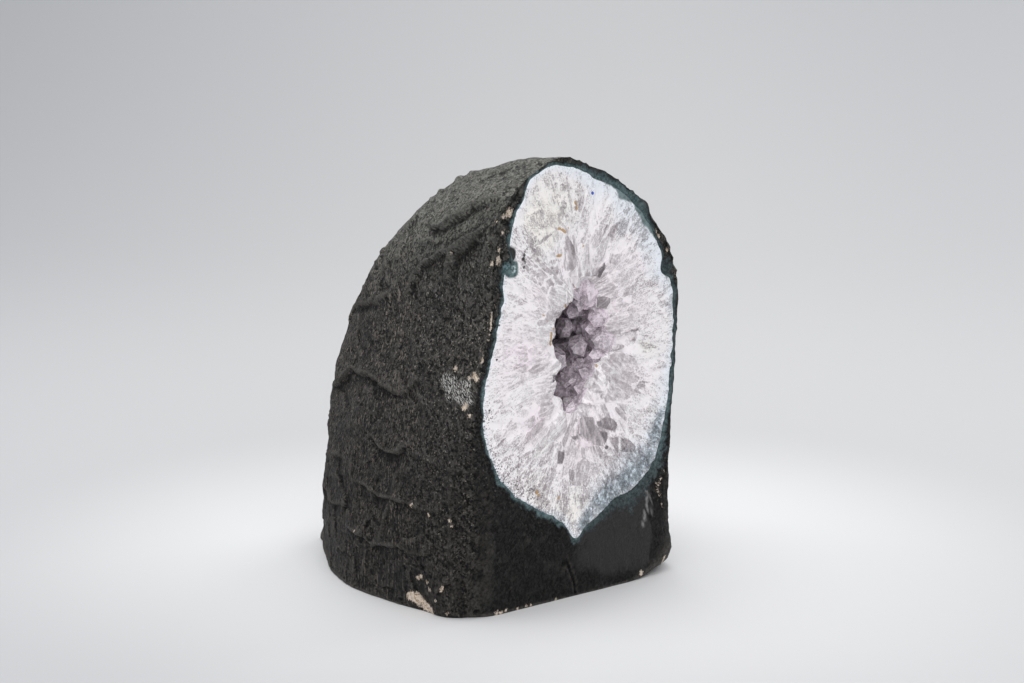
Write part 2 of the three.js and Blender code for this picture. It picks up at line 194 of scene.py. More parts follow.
def hashed(x, y, z, seed):
    """A repeatable number from 0 to 1 for each whole-numbered corner, by mixing its bits."""
    n = (x * 374761393 + y * 668265263 + z * 1442695041 + seed * 974634777) & 0xFFFFFFFF
    n = ((n ^ (n >> 13)) * 1274126177) & 0xFFFFFFFF
    n = ((n ^ (n >> 15)) * 2246822519) & 0xFFFFFFFF
    return (n ^ (n >> 16)) / 4294967295.0


def noise(points, size, seed=0):
    """Smooth numbers from -1 to 1: the hashed corners of cubes of this size, blended across each cube."""
    spot = points / np.asarray(size, float)
    corner = np.floor(spot).astype(np.int64)
    t = spot - corner
    t = t * t * (3 - 2 * t)
    total = 0.0
    for dx in (0, 1):
        for dy in (0, 1):
            for dz in (0, 1):
                wx = t[..., 0] if dx else 1 - t[..., 0]
                wy = t[..., 1] if dy else 1 - t[..., 1]
                wz = t[..., 2] if dz else 1 - t[..., 2]
                value = hashed(corner[..., 0] + dx, corner[..., 1] + dy, corner[..., 2] + dz, seed)
                total = total + wx * wy * wz * value
    return total * 2 - 1


def rough(points, size, octaves, seed=0, fall=0.5):
    """Noise at this size and at halved sizes, each lower by fall, summed."""
    total = 0.0
    for k in range(octaves):
        total = total + fall**k * noise(points, np.asarray(size, float) / 2**k, seed + 17 * k)
    return total


def chips(points, size, seed):
    """Cells of this size round scattered centres: each point's offset from the nearest centre, as a share of
    the size, and a chance of the nearest."""
    spot = points / size
    corner = np.floor(spot).astype(np.int64)
    nearest = np.full(spot.shape[:-1], np.inf)
    offset = np.zeros_like(spot)
    pick = np.zeros_like(nearest)
    for step in np.ndindex(3, 3, 3):
        cell = corner + np.array(step) - 1
        drawn = [hashed(cell[..., 0], cell[..., 1], cell[..., 2], seed + k) for k in range(4)]
        away = spot - cell - np.stack(drawn[:3], axis=-1)
        distance = np.linalg.norm(away, axis=-1)
        closer = distance < nearest
        nearest = np.where(closer, distance, nearest)
        offset = np.where(closer[..., None], away, offset)
        pick = np.where(closer, drawn[3], pick)
    return offset, pick


def facets(points, size, seed):
    """Facets of broken rock, each tilted its own way: a height as a share of the size."""
    offset, pick = chips(points, size, seed)
    tilt = np.stack([chance(pick * 91), chance(pick * 47), chance(pick * 23)], axis=-1) - 0.5
    return (offset * tilt).sum(axis=-1)


def through_points(angles, values):
    """The cubic through values at rising angles, its slopes taken across each value's neighbours."""
    angles, values = np.asarray(angles, float), np.asarray(values, float)
    before = np.maximum(np.arange(len(angles)) - 1, 0)
    after = np.minimum(np.arange(len(angles)) + 1, len(angles) - 1)
    slopes = (values[after] - values[before]) / (angles[after] - angles[before])

    def at(angle):
        k = np.clip(np.searchsorted(angles, angle, side="right") - 1, 0, len(angles) - 2)
        span = angles[k + 1] - angles[k]
        t = np.clip((angle - angles[k]) / span, 0, 1)
        rise = (2 * t**3 - 3 * t**2 + 1) * values[k] + (3 * t**2 - 2 * t**3) * values[k + 1]
        return rise + span * ((t**3 - 2 * t**2 + t) * slopes[k] + (t**3 - t**2) * slopes[k + 1])

    return at


def half_edge(points):
    """Distance from FORM_CENTRE of an edge that runs from -X, at angle 0, round to +X, at angle pi."""
    x, up = np.array(points, float).T
    return through_points(np.arctan2(up, FORM_CENTRE - x), np.hypot(x - FORM_CENTRE, up))


def closed_edge(points, centre):
    """Distance from a centre of an edge that goes all the way round, as a function of its angle."""
    x, z = np.array(points, float).T
    angle = np.arctan2(z - centre[1], x - centre[0]) % (2 * np.pi)
    order = np.argsort(angle)
    angle, radius = angle[order], np.hypot(x - centre[0], z - centre[1])[order]
    angle = np.concatenate([[angle[-1] - 2 * np.pi], angle, angle[:2] + 2 * np.pi])
    radius = np.concatenate([[radius[-1]], radius, radius[:2]])
    inner = through_points(angle, radius)
    return lambda at: inner(np.asarray(at) % (2 * np.pi))


arch_radius = half_edge(ARCH)
foot_radius = half_edge(FOOT)
drawn_quartz_radius = closed_edge(QUARTZ_EDGE, QUARTZ_CENTRE)
drawn_mouth_radius = closed_edge(MOUTH_EDGE, MOUTH_CENTRE)


def wobble(angle, radius, size, seed):
    """Noise along a closed edge, read on a circle of the edge's own size."""
    circle = np.stack([radius * np.cos(angle), radius * np.sin(angle), 0 * angle], axis=-1)
    return rough(circle, size, 3, seed)


def quartz_radius(angle):
    return drawn_quartz_radius(angle) + 0.55 * wobble(angle, 50.0, 3.6, 3)


def mouth_radius(angle):
    return drawn_mouth_radius(angle) + 0.6 * wobble(angle, 15.0, 4.0, 8)


def face_points(angle, radius, centre):
    """Points on the sawn face at this angle and distance from a centre."""
    x = centre[0] + radius * np.cos(angle)
    z = centre[1] + radius * np.sin(angle)
    return np.stack([x, np.zeros_like(x), z], axis=-1)


def plain_dome(round_, back):
    """The stone before its relief: along each direction from FORM_CENTRE, the distance whose two shares of
    the face edge's radius and of the foot edge's radius, each raised to the fullness, add up to one."""
    top = blend(*FULLNESS_TOP, smooth(back, 0.1, 0.7))
    beside = blend(FULLNESS_SIDES, top, np.sin(round_) ** 6)
    fullness = blend(FULLNESS_ENDS, beside, smooth(np.sin(round_), 0, 0.3))
    along = np.abs(np.cos(back)) / arch_radius(round_)
    away = np.abs(np.sin(back)) / foot_radius(round_)
    reach = (along**fullness + away**fullness) ** (-1 / fullness)
    outward = np.stack(
        [-np.cos(round_), np.sin(round_) * np.sin(back), np.sin(round_) * np.cos(back)], axis=-1
    )
    return outward, outward * reach[..., None] + np.array([FORM_CENTRE, 0, 0])


def round_the_arch():
    """The dome's lines from the left foot over the top to the right foot, evenly apart as measured on the
    stone, and twice as close together on the left flank."""
    dense = np.linspace(0, np.pi, 4001)
    edge, middle = plain_dome(dense, 0 * dense)[1], plain_dome(dense, 0 * dense + np.pi / 4)[1]
    step = np.linalg.norm(np.diff(edge, axis=0), axis=1) + np.linalg.norm(np.diff(middle, axis=0), axis=1)
    wanted = blend(1.5, 0.75, smooth(edge[1:, 0], -20, 20))
    travelled = np.concatenate([[0], np.cumsum(step * wanted)])
    return np.interp(np.linspace(0, travelled[-1], ROUND_STEPS + 1), travelled, dense)


def other_scales():
    """Scale centres over the rest of the dome, on a spiral of even spacing, clear of the flank's own."""
    wanted = 150
    i = np.arange(wanted)
    height = 1 - 2 * (i + 0.5) / wanted
    ring = np.sqrt(1 - height**2)
    turned = i * np.pi * (3 - np.sqrt(5))
    x, y, z = height, ring * np.cos(turned), ring * np.sin(turned)
    kept = (y >= 0) & (z >= 0)
    points = plain_dome(np.arccos(-x[kept]), np.arctan2(y[kept], z[kept]))[1]
    points[:, 0] += (chance(i[kept]) - 0.5) * 6
    points[:, 2] += (chance(i[kept] + 0.5) - 0.5) * 6
    clear = np.linalg.norm(points[:, None] - FLANK_SCALES[None], axis=2).min(axis=1)
    return points[clear > SCALE_SPACING * 0.8]


SCALES = np.concatenate([FLANK_SCALES, other_scales()])


def distance_to_line(points, line):
    """Distance from each point to the nearest of a line's straight stretches."""
    nearest = np.full(points.shape[:-1], np.inf)
    for a, b in zip(np.array(line[:-1], float), np.array(line[1:], float)):
        share = np.clip(((points - a) @ (b - a)) / ((b - a) @ (b - a)), 0, 1)
        nearest = np.minimum(nearest, np.linalg.norm(points - a - share[..., None] * (b - a), axis=-1))
    return nearest


def along_surface(points, normals, line):
    """Distance from each point to a line, leaving out how far above or below the surface the line lies."""
    nearest = np.full(len(points), np.inf)
    for a, b in zip(np.array(line[:-1], float), np.array(line[1:], float)):
        share = np.clip(((points - a) @ (b - a)) / ((b - a) @ (b - a)), 0, 1)
        offset = points - a - share[:, None] * (b - a)
        above = (offset * normals).sum(axis=1)
        within = np.sqrt(np.maximum((offset**2).sum(axis=1) - np.minimum(above**2, 36.0), 0))
        nearest = np.minimum(nearest, within)
    return nearest


def scale_height(points):
    """Each scale is dished and leans out towards its lower lip; neighbours blend over SCALE_EDGE."""
    away = np.linalg.norm(points[..., None, :] - SCALES, axis=-1)
    lean = -SCALE_LEDGE * (points[..., 2:3] - SCALES[:, 2]) + SCALE_DISH * away**2 * 0.5
    weight = np.exp((away.min(axis=-1, keepdims=True) - away) / SCALE_EDGE)
    return (weight * lean).sum(axis=-1) / weight.sum(axis=-1)


def along_line(points, line):
    """For points and a line in a plane: the distance to the line, how far above its nearest place each point
    lies, and how far along the line that place is, from 0 to 1."""
    nearest = np.full(points.shape[:-1], np.inf)
    side = np.zeros(points.shape[:-1])
    along = np.zeros(points.shape[:-1])
    corners = np.array(line, float)
    for k in range(len(corners) - 1):
        a, run = corners[k], corners[k + 1] - corners[k]
        share = np.clip(((points - a) @ run) / (run @ run), 0, 1)
        away = points - a - share[..., None] * run
        distance = np.linalg.norm(away, axis=-1)
        closer = distance < nearest
        nearest = np.where(closer, distance, nearest)
        side = np.where(closer, away[..., 1], side)
        along = np.where(closer, (k + share) / (len(corners) - 1), along)
    return nearest, side, along


def ledge_relief(points):
    """Steps down the left flank: each stands out above its line and cuts in below it, fading over 7 mm, and
    thin ridges. Also gives how much of a lip each point is on, which the rind's colour turns into a painted
    highlight."""
    flat = points[..., 1:] + 0.7 * np.stack([noise(points, 4.0, 91), noise(points, 4.0, 92)], axis=-1)
    total = np.zeros(points.shape[:-1])
    lip = np.zeros(points.shape[:-1])
    on_left = 1 - smooth(points[..., 0], -27, -17)
    for line, height in LEDGES:
        distance, side, along = along_line(flat, line)
        ends = np.sqrt(np.sin(np.pi * np.clip(along, 0.02, 0.98)))
        stand = np.clip(side / 0.45, -1, 1) * np.exp(-distance / np.where(side > 0, 2.8, 5.5))
        total += height * ends * stand
        lip += min(height, 1.0) * ends * np.exp(-(((side - 0.5) / 0.6) ** 2) - (distance / 1.2) ** 2)
    for line, height in RIDGES:
        distance, side, along = along_line(flat, line)
        ends = np.sqrt(np.sin(np.pi * np.clip(along, 0.02, 0.98)))
        total += height * ends * np.exp(-distance / 0.8)
        lip += 0.7 * height * ends * np.exp(-((distance / 0.6) ** 2))
    return total * on_left, lip * on_left


def paint_relief(points, normals):
    """Ridges of paint that ran and set, and small knobs, on the surface below them."""
    total = np.zeros(len(points))
    shifted = points + 0.7 * np.stack([noise(points, 5.0, seed) for seed in (81, 82, 83)], axis=-1)
    for line, height, width in WRINKLES:
        bell = np.exp(-((along_surface(shifted, normals, line) / width) ** 2))
        total = np.maximum(total, height * bell)
    for centre, height, radius in KNOBS:
        total = total + height * near(points, centre, radius)
    return total * smooth(points[:, 1], 2, 7)


def relief(points):
    """How far the rind stands out from the plain dome: broad lumps and chipped scales, which are fainter on
    the left flank, where the ledges are."""
    x, y, z = points[..., 0], points[..., 1], points[..., 2]
    total = 0.0
    for height, sx, sy, sz, start in LUMPS:
        total = total + height * np.sin(x / sx + start) * np.sin(y / sy + 2 * start) * np.cos(z / sz - start)
    total = total * smooth(y, 0, 20)
    shown = blend(0.45, 1.0, smooth(x, -35, -15)) * (1 - smooth(z, *SCALE_TOP)) * smooth(y, 1, 12)
    return total + scale_height(points) * shown


def wear_corners(points):
    """Turns the square corner between face and flank into an arc: the larger of a point's two distances from
    the arc's centre becomes its distance."""
    worn = points.copy()
    z = points[..., 2]
    for corners, side in ((LEFT_CORNER, 1), (RIGHT_CORNER, -1)):
        radius = np.interp(z, *np.array(corners, float).T)
        dx = (worn[..., 0] - side_of_arch(z, side)) * side - radius
        dy = worn[..., 1] - radius
        cut = (dx < 0) & (dy < 0) & (z < 120)
        reach = np.maximum(np.abs(dx), np.abs(dy)) / np.maximum(np.hypot(dx, dy), 1e-9)
        worn[..., 0] += np.where(cut, side * dx * (reach - 1), 0)
        worn[..., 1] += np.where(cut, dy * (reach - 1), 0)
    return worn


def side_of_arch(z, side):
    """x of the face's left (side 1) or right (side -1) edge at a height."""
    round_ = np.linspace(0.0, 0.5 * np.pi, 400) if side == 1 else np.linspace(np.pi, 0.5 * np.pi, 400)
    radius = arch_radius(round_)
    return np.interp(z, radius * np.sin(round_), FORM_CENTRE - radius * np.cos(round_))


def wear_foot(points):
    """Draws the lowest FOOT_WEAR of the stone in along a quarter circle, towards the middle of the foot."""
    z = np.clip(points[..., 2], 0, FOOT_WEAR)
    drawn_in = FOOT_WEAR - np.sqrt(FOOT_WEAR**2 - (FOOT_WEAR - z) ** 2)
    middle = np.array([FORM_CENTRE, 50.0])
    worn = points.copy()
    worn[..., :2] = middle + (points[..., :2] - middle) * (1 - drawn_in[..., None] / 55.0)
    return worn


def place(points):
    """From the drawing's millimetres to the part's metres."""
    return (points + DRAWN_ORIGIN) / 1000.0


def grid_faces(rows, columns, first=0, turned=False):
    """Four-cornered faces of a grid of rows by columns points, numbered row by row from first."""
    i = np.arange(rows * columns).reshape(rows, columns) + first
    a, b, c, d = i[:-1, :-1].ravel(), i[:-1, 1:].ravel(), i[1:, 1:].ravel(), i[1:, :-1].ravel()
    return np.stack([a, d, c, b] if turned else [a, b, c, d], axis=1)


def weld(points, faces):
    """Merges points closer than 2 micrometres and renumbers the faces' corners to match, and gives the index
    of each kept point. A face that loses a corner keeps the merged one twice, which make_mesh later drops,
    leaving a triangle."""
    keys = np.round(points / 0.002).astype(np.int64)
    _, first, number = np.unique(keys, axis=0, return_index=True, return_inverse=True)
    return points[first], number.ravel()[faces], first


def make_mesh(name, points, faces, fields=(), materials=(), slots=None):
    """A smooth-shaded mesh object from points in drawn millimetres and quads, with one number field per
    name."""
    repeated = faces == np.roll(faces, 1, axis=1)
    corners = faces[~repeated]
    sizes = (~repeated).sum(axis=1)
    whole = sizes > 2
    corners = corners[np.repeat(whole, sizes)]
    sizes = sizes[whole]
    mesh = bpy.data.meshes.new(name)
    mesh.vertices.add(len(points))
    mesh.vertices.foreach_set("co", place(points).ravel())
    mesh.loops.add(len(corners))
    mesh.loops.foreach_set("vertex_index", corners.astype(np.int32))
    mesh.polygons.add(len(sizes))
    mesh.polygons.foreach_set("loop_start", np.concatenate([[0], np.cumsum(sizes)[:-1]]).astype(np.int32))
    mesh.polygons.foreach_set("use_smooth", np.ones(len(sizes), bool))
    for field, values in dict(fields).items():
        values = np.asarray(values, float)
        kind = "FLOAT" if values.ndim == 1 else "FLOAT_VECTOR"
        layer = mesh.attributes.new(field, kind, "POINT")
        layer.data.foreach_set("value" if values.ndim == 1 else "vector", values.ravel())
    for material in materials:
        mesh.materials.append(material)
    if slots is not None:
        mesh.polygons.foreach_set("material_index", slots[whole].astype(np.int32))
    mesh.update(calc_edges=True)
    mesh.validate()
    piece = bpy.data.objects.new(name, mesh)
    bpy.context.scene.collection.objects.link(piece)
    return piece


def vertex_normals(points, faces):
    """The mean direction of the faces round each point, each face weighted by its area."""
    p = points[faces]
    across = np.cross(p[:, 2] - p[:, 0], p[:, 3] - p[:, 1])
    normals = np.zeros_like(points)
    for corner in range(4):
        np.add.at(normals, faces[:, corner], across)
    return normals / np.maximum(np.linalg.norm(normals, axis=1, keepdims=True), 1e-9)


def mesh_blur(values, faces, rounds):
    """Gives each point the mean over the faces round it, this many times."""
    share = np.maximum(np.bincount(faces.ravel(), minlength=len(values)), 1)
    for _ in range(rounds):
        middle = np.repeat(values[faces].mean(axis=1), 4)
        values = np.bincount(faces.ravel(), middle, len(values)) / share
    return values


def standing_out(points, normals, faces, rounds, height):
    """How far each point stands out from the blurred surface round it, as a share of a height, from -1 in a
    crease to 1 on a crest."""
    blurred = np.stack([mesh_blur(points[:, axis], faces, rounds) for axis in range(3)], axis=1)
    return np.clip(((points - blurred) * normals).sum(axis=1) / height, -1, 1)


def rind_grids():
    """The dome, the foot, the rock part of the sawn face and the pocket behind the quartz, as four grids that
    share their edges. Also gives the face's angles round the quartz and its distances from the quartz."""
    round_ = round_the_arch()
    back = np.linspace(0, np.pi / 2, BACK_STEPS + 1)
    outward, dome = plain_dome(*np.meshgrid(round_, back))
    dome = dome + outward * relief(dome)[..., None]
    dome[0, :, 1] = 0
    dome[-1, :, 2] = 0
    front_line = np.zeros((ROUND_STEPS + 1, 3))
    front_line[:, 0] = blend(ARCH[0][0], ARCH[-1][0], (1 - np.cos(round_)) / 2)
    share = np.linspace(0, 1, 5)[:, None, None]
    foot = blend(dome[-1], front_line, share)
    edge = np.concatenate([dome[0], front_line[-2::-1]])
    angle = np.arctan2(edge[:, 2] - QUARTZ_CENTRE[1], edge[:, 0] - QUARTZ_CENTRE[0])
    inner = face_points(angle, quartz_radius(angle), QUARTZ_CENTRE)
    share = (1 - np.cos(np.linspace(0, np.pi, RING_STEPS + 1)[:, None, None])) / 2
    ring = blend(inner, edge, share)
    turned = np.linspace(0, np.pi / 2, 5)[1:, None]
    pocket = face_points(angle, (quartz_radius(angle) + 0.6) * np.cos(turned) ** BOWL_FALL, QUARTZ_CENTRE)
    pocket[..., 1] = (QUARTZ_DEPTH + 0.8) * np.sin(turned)
    pocket = np.concatenate([ring[:1], pocket])
    return [dome, foot, ring, pocket], angle, np.linalg.norm(ring - inner, axis=-1)


def rind():
    """The rock shell: its four grids, welded, worn at the corners, carved by ledges and ridges of paint, and
    pushed along their normals by fine roughness."""
    grids, angle, from_quartz = rind_grids()
    turns = [False, False, False, True]
    points = np.concatenate([g.reshape(-1, 3) for g in grids])
    starts = np.cumsum([0] + [g.shape[0] * g.shape[1] for g in grids])
    faces = np.concatenate([grid_faces(*g.shape[:2], s, t) for g, s, t in zip(grids, starts, turns)])
    rim = np.full(len(points), OFF_FACE)
    rim[starts[2]:starts[3]] = from_quartz.ravel()
    rim[starts[3]:] = 0
    around_quartz = np.zeros(len(points))
    around_quartz[starts[2]:starts[3]] = np.broadcast_to(angle, from_quartz.shape).ravel()
    part = np.repeat(np.arange(4), np.diff(starts))
    welded, faces, first = weld(points, faces)
    rim, around_quartz, part = rim[first], around_quartz[first], part[first]
    worn = wear_foot(wear_corners(welded))
    normals = vertex_normals(worn, faces)
    on_face = smooth(-normals[:, 1], 0.75, 0.98)
    on_face = np.maximum(on_face, (worn[:, 1] < 0.05) * (rim < OFF_FACE - 1) * smooth(worn[:, 2], 0.2, 1.2))
    steps, lip = ledge_relief(worn)
    steps = steps * smooth(worn[:, 1], 2, 12) + paint_relief(worn, normals)
    worn = worn + normals * (steps * (part < 2))[:, None]
    normals = vertex_normals(worn, faces)
    gritty = grit_share(worn)
    fine = rind_roughness(worn, gritty, on_face)
    fine = fine * smooth(worn[:, 2], 0.0, 1.5) * smooth(rim, 0.0, 1.5) * (part < 3)
    rugged = worn + normals * fine[:, None]
    rugged[:, 2] = np.where(worn[:, 2] <= 0, 0, rugged[:, 2])
    rugged[:, 1] += 0.25 * (1 - smooth(rim, 0, 0.5)) * (part == 2)
    rugged = keep_in_box(rugged)
    normals = vertex_normals(rugged, faces)
    band, vivid = rim_band(rim, around_quartz, worn)
    fields = {
        "rim": band,
        "vivid": vivid,
        "gritty": gritty,
        "sawn": on_face * (1 - 0.55 * smooth(worn[:, 2], 85, 125)),
        # lip and raised above zero pale the paint on ledge lips and crests, partly worn paint and partly
        # painted highlight; raised and crest below zero give painted shade in creases
        "lip": np.clip(lip, 0, 1),
        "raised": standing_out(rugged, normals, faces, 5, 0.35),
        "crest": standing_out(rugged, normals, faces, 30, 1.1),
        # crown: where the paint is made paler towards the top, as painted light from above
        "crown": smooth(worn[:, 2], 95, 150) * (1 - 0.6 * on_face),
        "bare": spots_share(worn, BARE_SPOTS),
        "scuffed": spots_share(worn, SCUFFS),
        "polished": polished_place(worn),
        "vein": pale_vein(worn),
        "brushed": (1 - on_face) * (1 - 0.65 * gritty) * (1 - 0.7 * smooth(worn[:, 2], 105, 140)),
    }
    return make_mesh("rock_rind", rugged, faces, fields, [rind_paint])


def keep_in_box(points):
    """Holds points inside the part's own box."""
    low, high = (np.array(corner, float) * 1000 - DRAWN_ORIGIN for corner in part_box)
    return np.clip(points, low, high)


def rind_roughness(points, gritty, on_face):
    """Height in millimetres of everything smaller than a scale: facets of broken rock, grit, pits and the
    crack. The sawn face only goes in."""
    y, z = points[:, 1], points[:, 2]
    crown = smooth(z, 112, 138)
    facet = facets(points + 1.5 * noise(points, 7.0, 51)[:, None], 11.0, 60) * 1.4
    small = facets(points + 0.6 * noise(points, 2.5, 52)[:, None], 4.2, 64) * 0.40
    height = (facet * (1 - 0.5 * gritty) + small) * (1 - 0.8 * crown) + 0.2 * rough(points, 6.0, 2, 21)
    height = height + crown * (0.45 * rough(points, 12.0, 2, 25) + 0.15 * rough(points, 3.5, 2, 26))
    height = height + (0.08 + 0.2 * gritty) * rough(points, 2.0, 2, 33)
    edge = np.exp(-y / 4.0) * smooth(z, 90, 125)
    height = height + edge * (1.0 * rough(points, 3.1, 2, 39) + 0.7 * rough(points, 1.5, 2, 38) - 0.25)
    height = height - 0.6 * smooth(noise(points, 2.4, 71), 0.6, 0.9) * (1 - 0.6 * crown)
    height = height - 1.4 * near(points, (-22.7, 14.5, 153.2), 1.0)
    sawn = np.minimum(height * 0.35 - 0.15, 0) - 0.9 * crack(points)
    return blend(height, sawn, on_face)


def near(points, centre, radius):
    """1 at a centre, falling to 0 along a bell over this radius."""
    offset = (points - np.array(centre, float)) / radius
    return np.exp(-(offset**2).sum(axis=-1))


def grit_share(points):
    """How gritty the rind is: all of the sawn face's border and the flank near it, fading to the back, the
    foot and the crown, where the paint lies thick."""
    y, z = points[..., 1], points[..., 2]
    reach = 24 + 9 * rough(points, 22.0, 2, 5) + 20 * smooth(z, 60, 115)
    flank = (1 - smooth(y, reach - 12, reach + 16)) * (0.5 + 0.5 * smooth(z, 10, 50))
    thick = smooth(z + 0.45 * y + 5 * noise(points, 9.0, 6), 137, 150)
    return flank * (1 - 0.8 * thick)


def crack(points):
    """The crack that runs down the sawn face to the foot, and the small pit above it."""
    line = [(-5.8, 0, 13.6), (-3.9, 0, 13.7), (-2.0, 0, 9.9), (0.0, 0, 5.1), (0.5, 0, 0.8)]
    groove = np.exp(-((distance_to_line(points, line) / 0.45) ** 2))
    return np.clip(groove + near(points, (5.3, 0, 18.4), 0.9), 0, 1)


def rim_band(distance, angle, points):
    """Share of the blue-green band: 1 at the quartz, 0 at its width, which changes round the quartz, and
    below 0 beyond. Two blobs fill the notches in the quartz. The second number is how bright the blue-green
    is."""
    degrees = np.rad2deg(angle) % 360
    width = np.interp(degrees, *np.array(BAND_WIDTHS, float).T) * (1 + 0.45 * noise(points, 4.0, 101))
    band = 1 - distance / width
    left = 1.6 * near(points, (-31.8, 0, 122.4), 3.3) - 0.4
    right = 1.5 * near(points, (44.0, 0, 117.0), 3.4) - 0.45
    vivid = np.interp(degrees, *np.array(BAND_BRIGHTNESS, float).T)
    vivid = np.maximum(vivid * smooth(band, -0.2, 0.7), smooth(left, -0.1, 0.5))
    return np.clip(np.maximum(np.maximum(band, left), right), -3, 1), vivid


def spots_share(points, spots):
    """Soft round spots, each a bell of its own radius, summed and held below 1."""
    total = 0.0
    for *centre, radius in spots:
        total = total + near(points, centre, radius)
    return np.clip(total, 0, 1)


# Where the paint has come off the pale rock, which the material breaks up into chips: place and radius
BARE_SPOTS = [
    (-55.1, 27, 4.4, 1.9), (-54.7, 25.1, 5, 1.9), (-54.5, 23, 4.2, 2.2), (-54.3, 21, 2.8, 2.2),
    (-54.1, 18.5, 1.8, 2), (-54, 15.8, 1.2, 1.7), (-52.6, 8.2, 1.6, 1.3), (-55.3, 21.9, 12.4, 1.2),
    (-55.2, 19.7, 13.4, 1.1), (-55.7, 16.2, 12.2, 1.1), (-54.3, 8.8, 11.6, 1), (-54.9, 9.2, 10.3, 0.9),
    (-55.7, 15, 9.6, 1.3), (-55.2, 12, 6, 1.1), (-31, 0.5, 142.4, 1.8), (-30.2, 0.1, 141.6, 1.3),
    (-33.6, 0.3, 140.6, 1.1), (-34.5, 3, 138.8, 1.1), (-34, 0.3, 135.4, 1.1), (-30.8, 0.2, 135.8, 0.8),
    (-35.6, 0.2, 129.4, 0.9), (-35.8, 0.5, 126.4, 1.5), (-37.9, 1.6, 124.8, 1.3), (-35.2, 0.3, 124.6, 1.3),
    (-37.7, 0.1, 110.7, 0.5), (-38.5, 0.1, 108.2, 0.5), (-38.8, 0.1, 106.9, 0.6), (-39, 0.1, 105.6, 0.7),
    (-39.1, 0.1, 104.4, 0.6), (-39.1, 0.1, 103.3, 0.6), (-39.4, 0.1, 102.1, 0.6), (-39.8, 0.1, 100.6, 0.6),
    (-40.3, 0.1, 98.6, 0.5), (-44.4, 13, 87.6, 1.3), (-44.1, 2.6, 86.8, 1.4), (-44.6, 1.2, 85.4, 1.2),
    (-44.9, 5, 85.5, 1), (-47.5, 4.9, 75.2, 1.2), (-47, 3.6, 76.4, 1.1), (-47.1, 2.3, 73, 1.1),
    (-50.5, 8.4, 35.4, 1), (-50.4, 8, 33.6, 0.9), (-55.2, 24.8, 38.4, 1), (-53.6, 17.4, 36, 1),
    (-54.2, 61.6, 41.2, 0.6), (-56.7, 57.2, 22.6, 0.8), (-37.8, 91, 70.4, 1.1), (-37.7, 22.2, 132.2, 0.7),
    (-38.5, 22.3, 126.6, 0.8), (-36.9, 18.6, 134, 0.6), (43.1, 0.2, 37.5, 0.95), (42.1, 0.2, 35.4, 0.9),
    (41.2, 0.3, 33.2, 1), (42.7, 0.2, 31.1, 0.8), (43.7, 0.1, 27.3, 0.8), (44.5, 0.2, 40.2, 0.8),
    (40.4, 0.1, 36.4, 0.7), (33.3, 0.2, 2.6, 1.4), (45.9, 1, 6, 1.3), (45.4, 1.4, 4.2, 1.2),
    (-36.7, 0.4, 0.9, 1.1), (-34.6, 0.4, 0.8, 1), (-32.4, 0.2, 1.3, 0.8), (-23, 0.4, 0.9, 0.9),
    (-21, 0.3, 0.9, 0.8), (-27.1, 0.5, 0.7, 0.8), (-9.2, 0.4, 0.7, 0.8), (27.5, 0.3, 143.2, 1.1),
    (36.2, 0.5, 135.1, 1.1), (37.5, 0.4, 132.9, 0.9), (38.7, 0.3, 130.7, 1.1), (40.1, 0.2, 128.5, 1.2),
    (44.5, 0.1, 123.4, 1), (49.1, 0.3, 113.6, 1), (-43.1, 0.1, 92.6, 1), (-43.4, 0.1, 91.4, 0.9),
    (-42.6, 0.1, 94.5, 0.7), (50.5, 20, 30, 1.8), (52, 50, 60, 1.5), (20, 121, 12, 2), (-20, 117, 30, 1.4),
]
# Where the paint is rubbed pale, in streaks across the front left edge
SCUFFS = [
    (-45.4, 17, 83.2, 2.4), (-46, 13.5, 81.6, 3), (-46.3, 9.8, 81.2, 3), (-46.4, 6.4, 79.8, 3),
    (-46.6, 3.6, 78.4, 2.4), (-47.6, 13, 77.6, 1.6), (-45.2, 4.8, 83.6, 1.5),
]
# Width in millimetres, and brightness, of the blue-green band at angles round the quartz from its right side
BAND_WIDTHS = [
    (0, 2.6), (14, 2.8), (28, 3.2), (36, 1.4), (50, 2.2), (58, 4.4), (78, 3.8), (95, 1.7), (112, 1.4),
    (128, 2), (138, 2.2), (150, 1.8), (165, 2.2), (180, 2), (196, 1.9), (212, 1.3), (228, 2), (250, 2.3),
    (262, 1.8), (275, 3), (288, 6), (305, 6.5), (318, 4.5), (335, 3), (350, 2.8), (360, 2.6),
]
BAND_BRIGHTNESS = [
    (0, 0.25), (30, 0.35), (48, 0.45), (62, 0.6), (80, 0.6), (96, 0.7), (112, 0.9), (130, 0.8), (142, 0.7),
    (160, 0.55), (175, 0.6), (190, 1), (205, 0.8), (218, 0.9), (232, 1), (256, 1), (266, 0.5), (280, 0.1),
    (305, 0.15), (316, 0.7), (330, 0.7), (345, 0.4), (360, 0.25),
]


def polished_place(points):
    """The smoother, paler rock at the face's lower right, between the quartz and the foot."""
    x, y, z = points[..., 0], points[..., 1], points[..., 2]
    shifted = x + 3.0 * noise(points, 9.0, 45) + 0.8 * noise(points, 2.5, 47)
    inside = smooth(shifted, -6, 3) * (1 - smooth(shifted + 0.35 * np.maximum(14 - z, 0), 36.5, 38.5))
    above = smooth(z + 0.15 * (x - 20) + 3.5 * noise(points, 8.0, 46), 3, 9)
    return inside * above * (1 - smooth(y, 0.5, 2.5))


def pale_vein(points):
    """A thin wavy vein of pale mineral in the smoother rock."""
    strands = [
        ([(34.6, 0, 34.5), (36.6, 0, 32.6), (35.6, 0, 30.4), (35.9, 0, 28.0), (34.6, 0, 25.4),
          (34.4, 0, 22.4), (33.2, 0, 20.2)], 0.42, 1.5),
        ([(36.6, 0, 32.6), (38.0, 0, 30.4), (37.2, 0, 27.4), (35.6, 0, 24.6), (34.4, 0, 22.4)], 0.35, 1.1),
        ([(38.0, 0, 30.4), (38.8, 0, 28.0), (38.4, 0, 25.0)], 0.32, 0.8),
    ]
    flat = points * ONTO_FACE
    total = 0.0
    for line, half, strength in strands:
        total = np.maximum(total, strength * np.exp(-((distance_to_line(flat, line) / half) ** 2)))
    return total


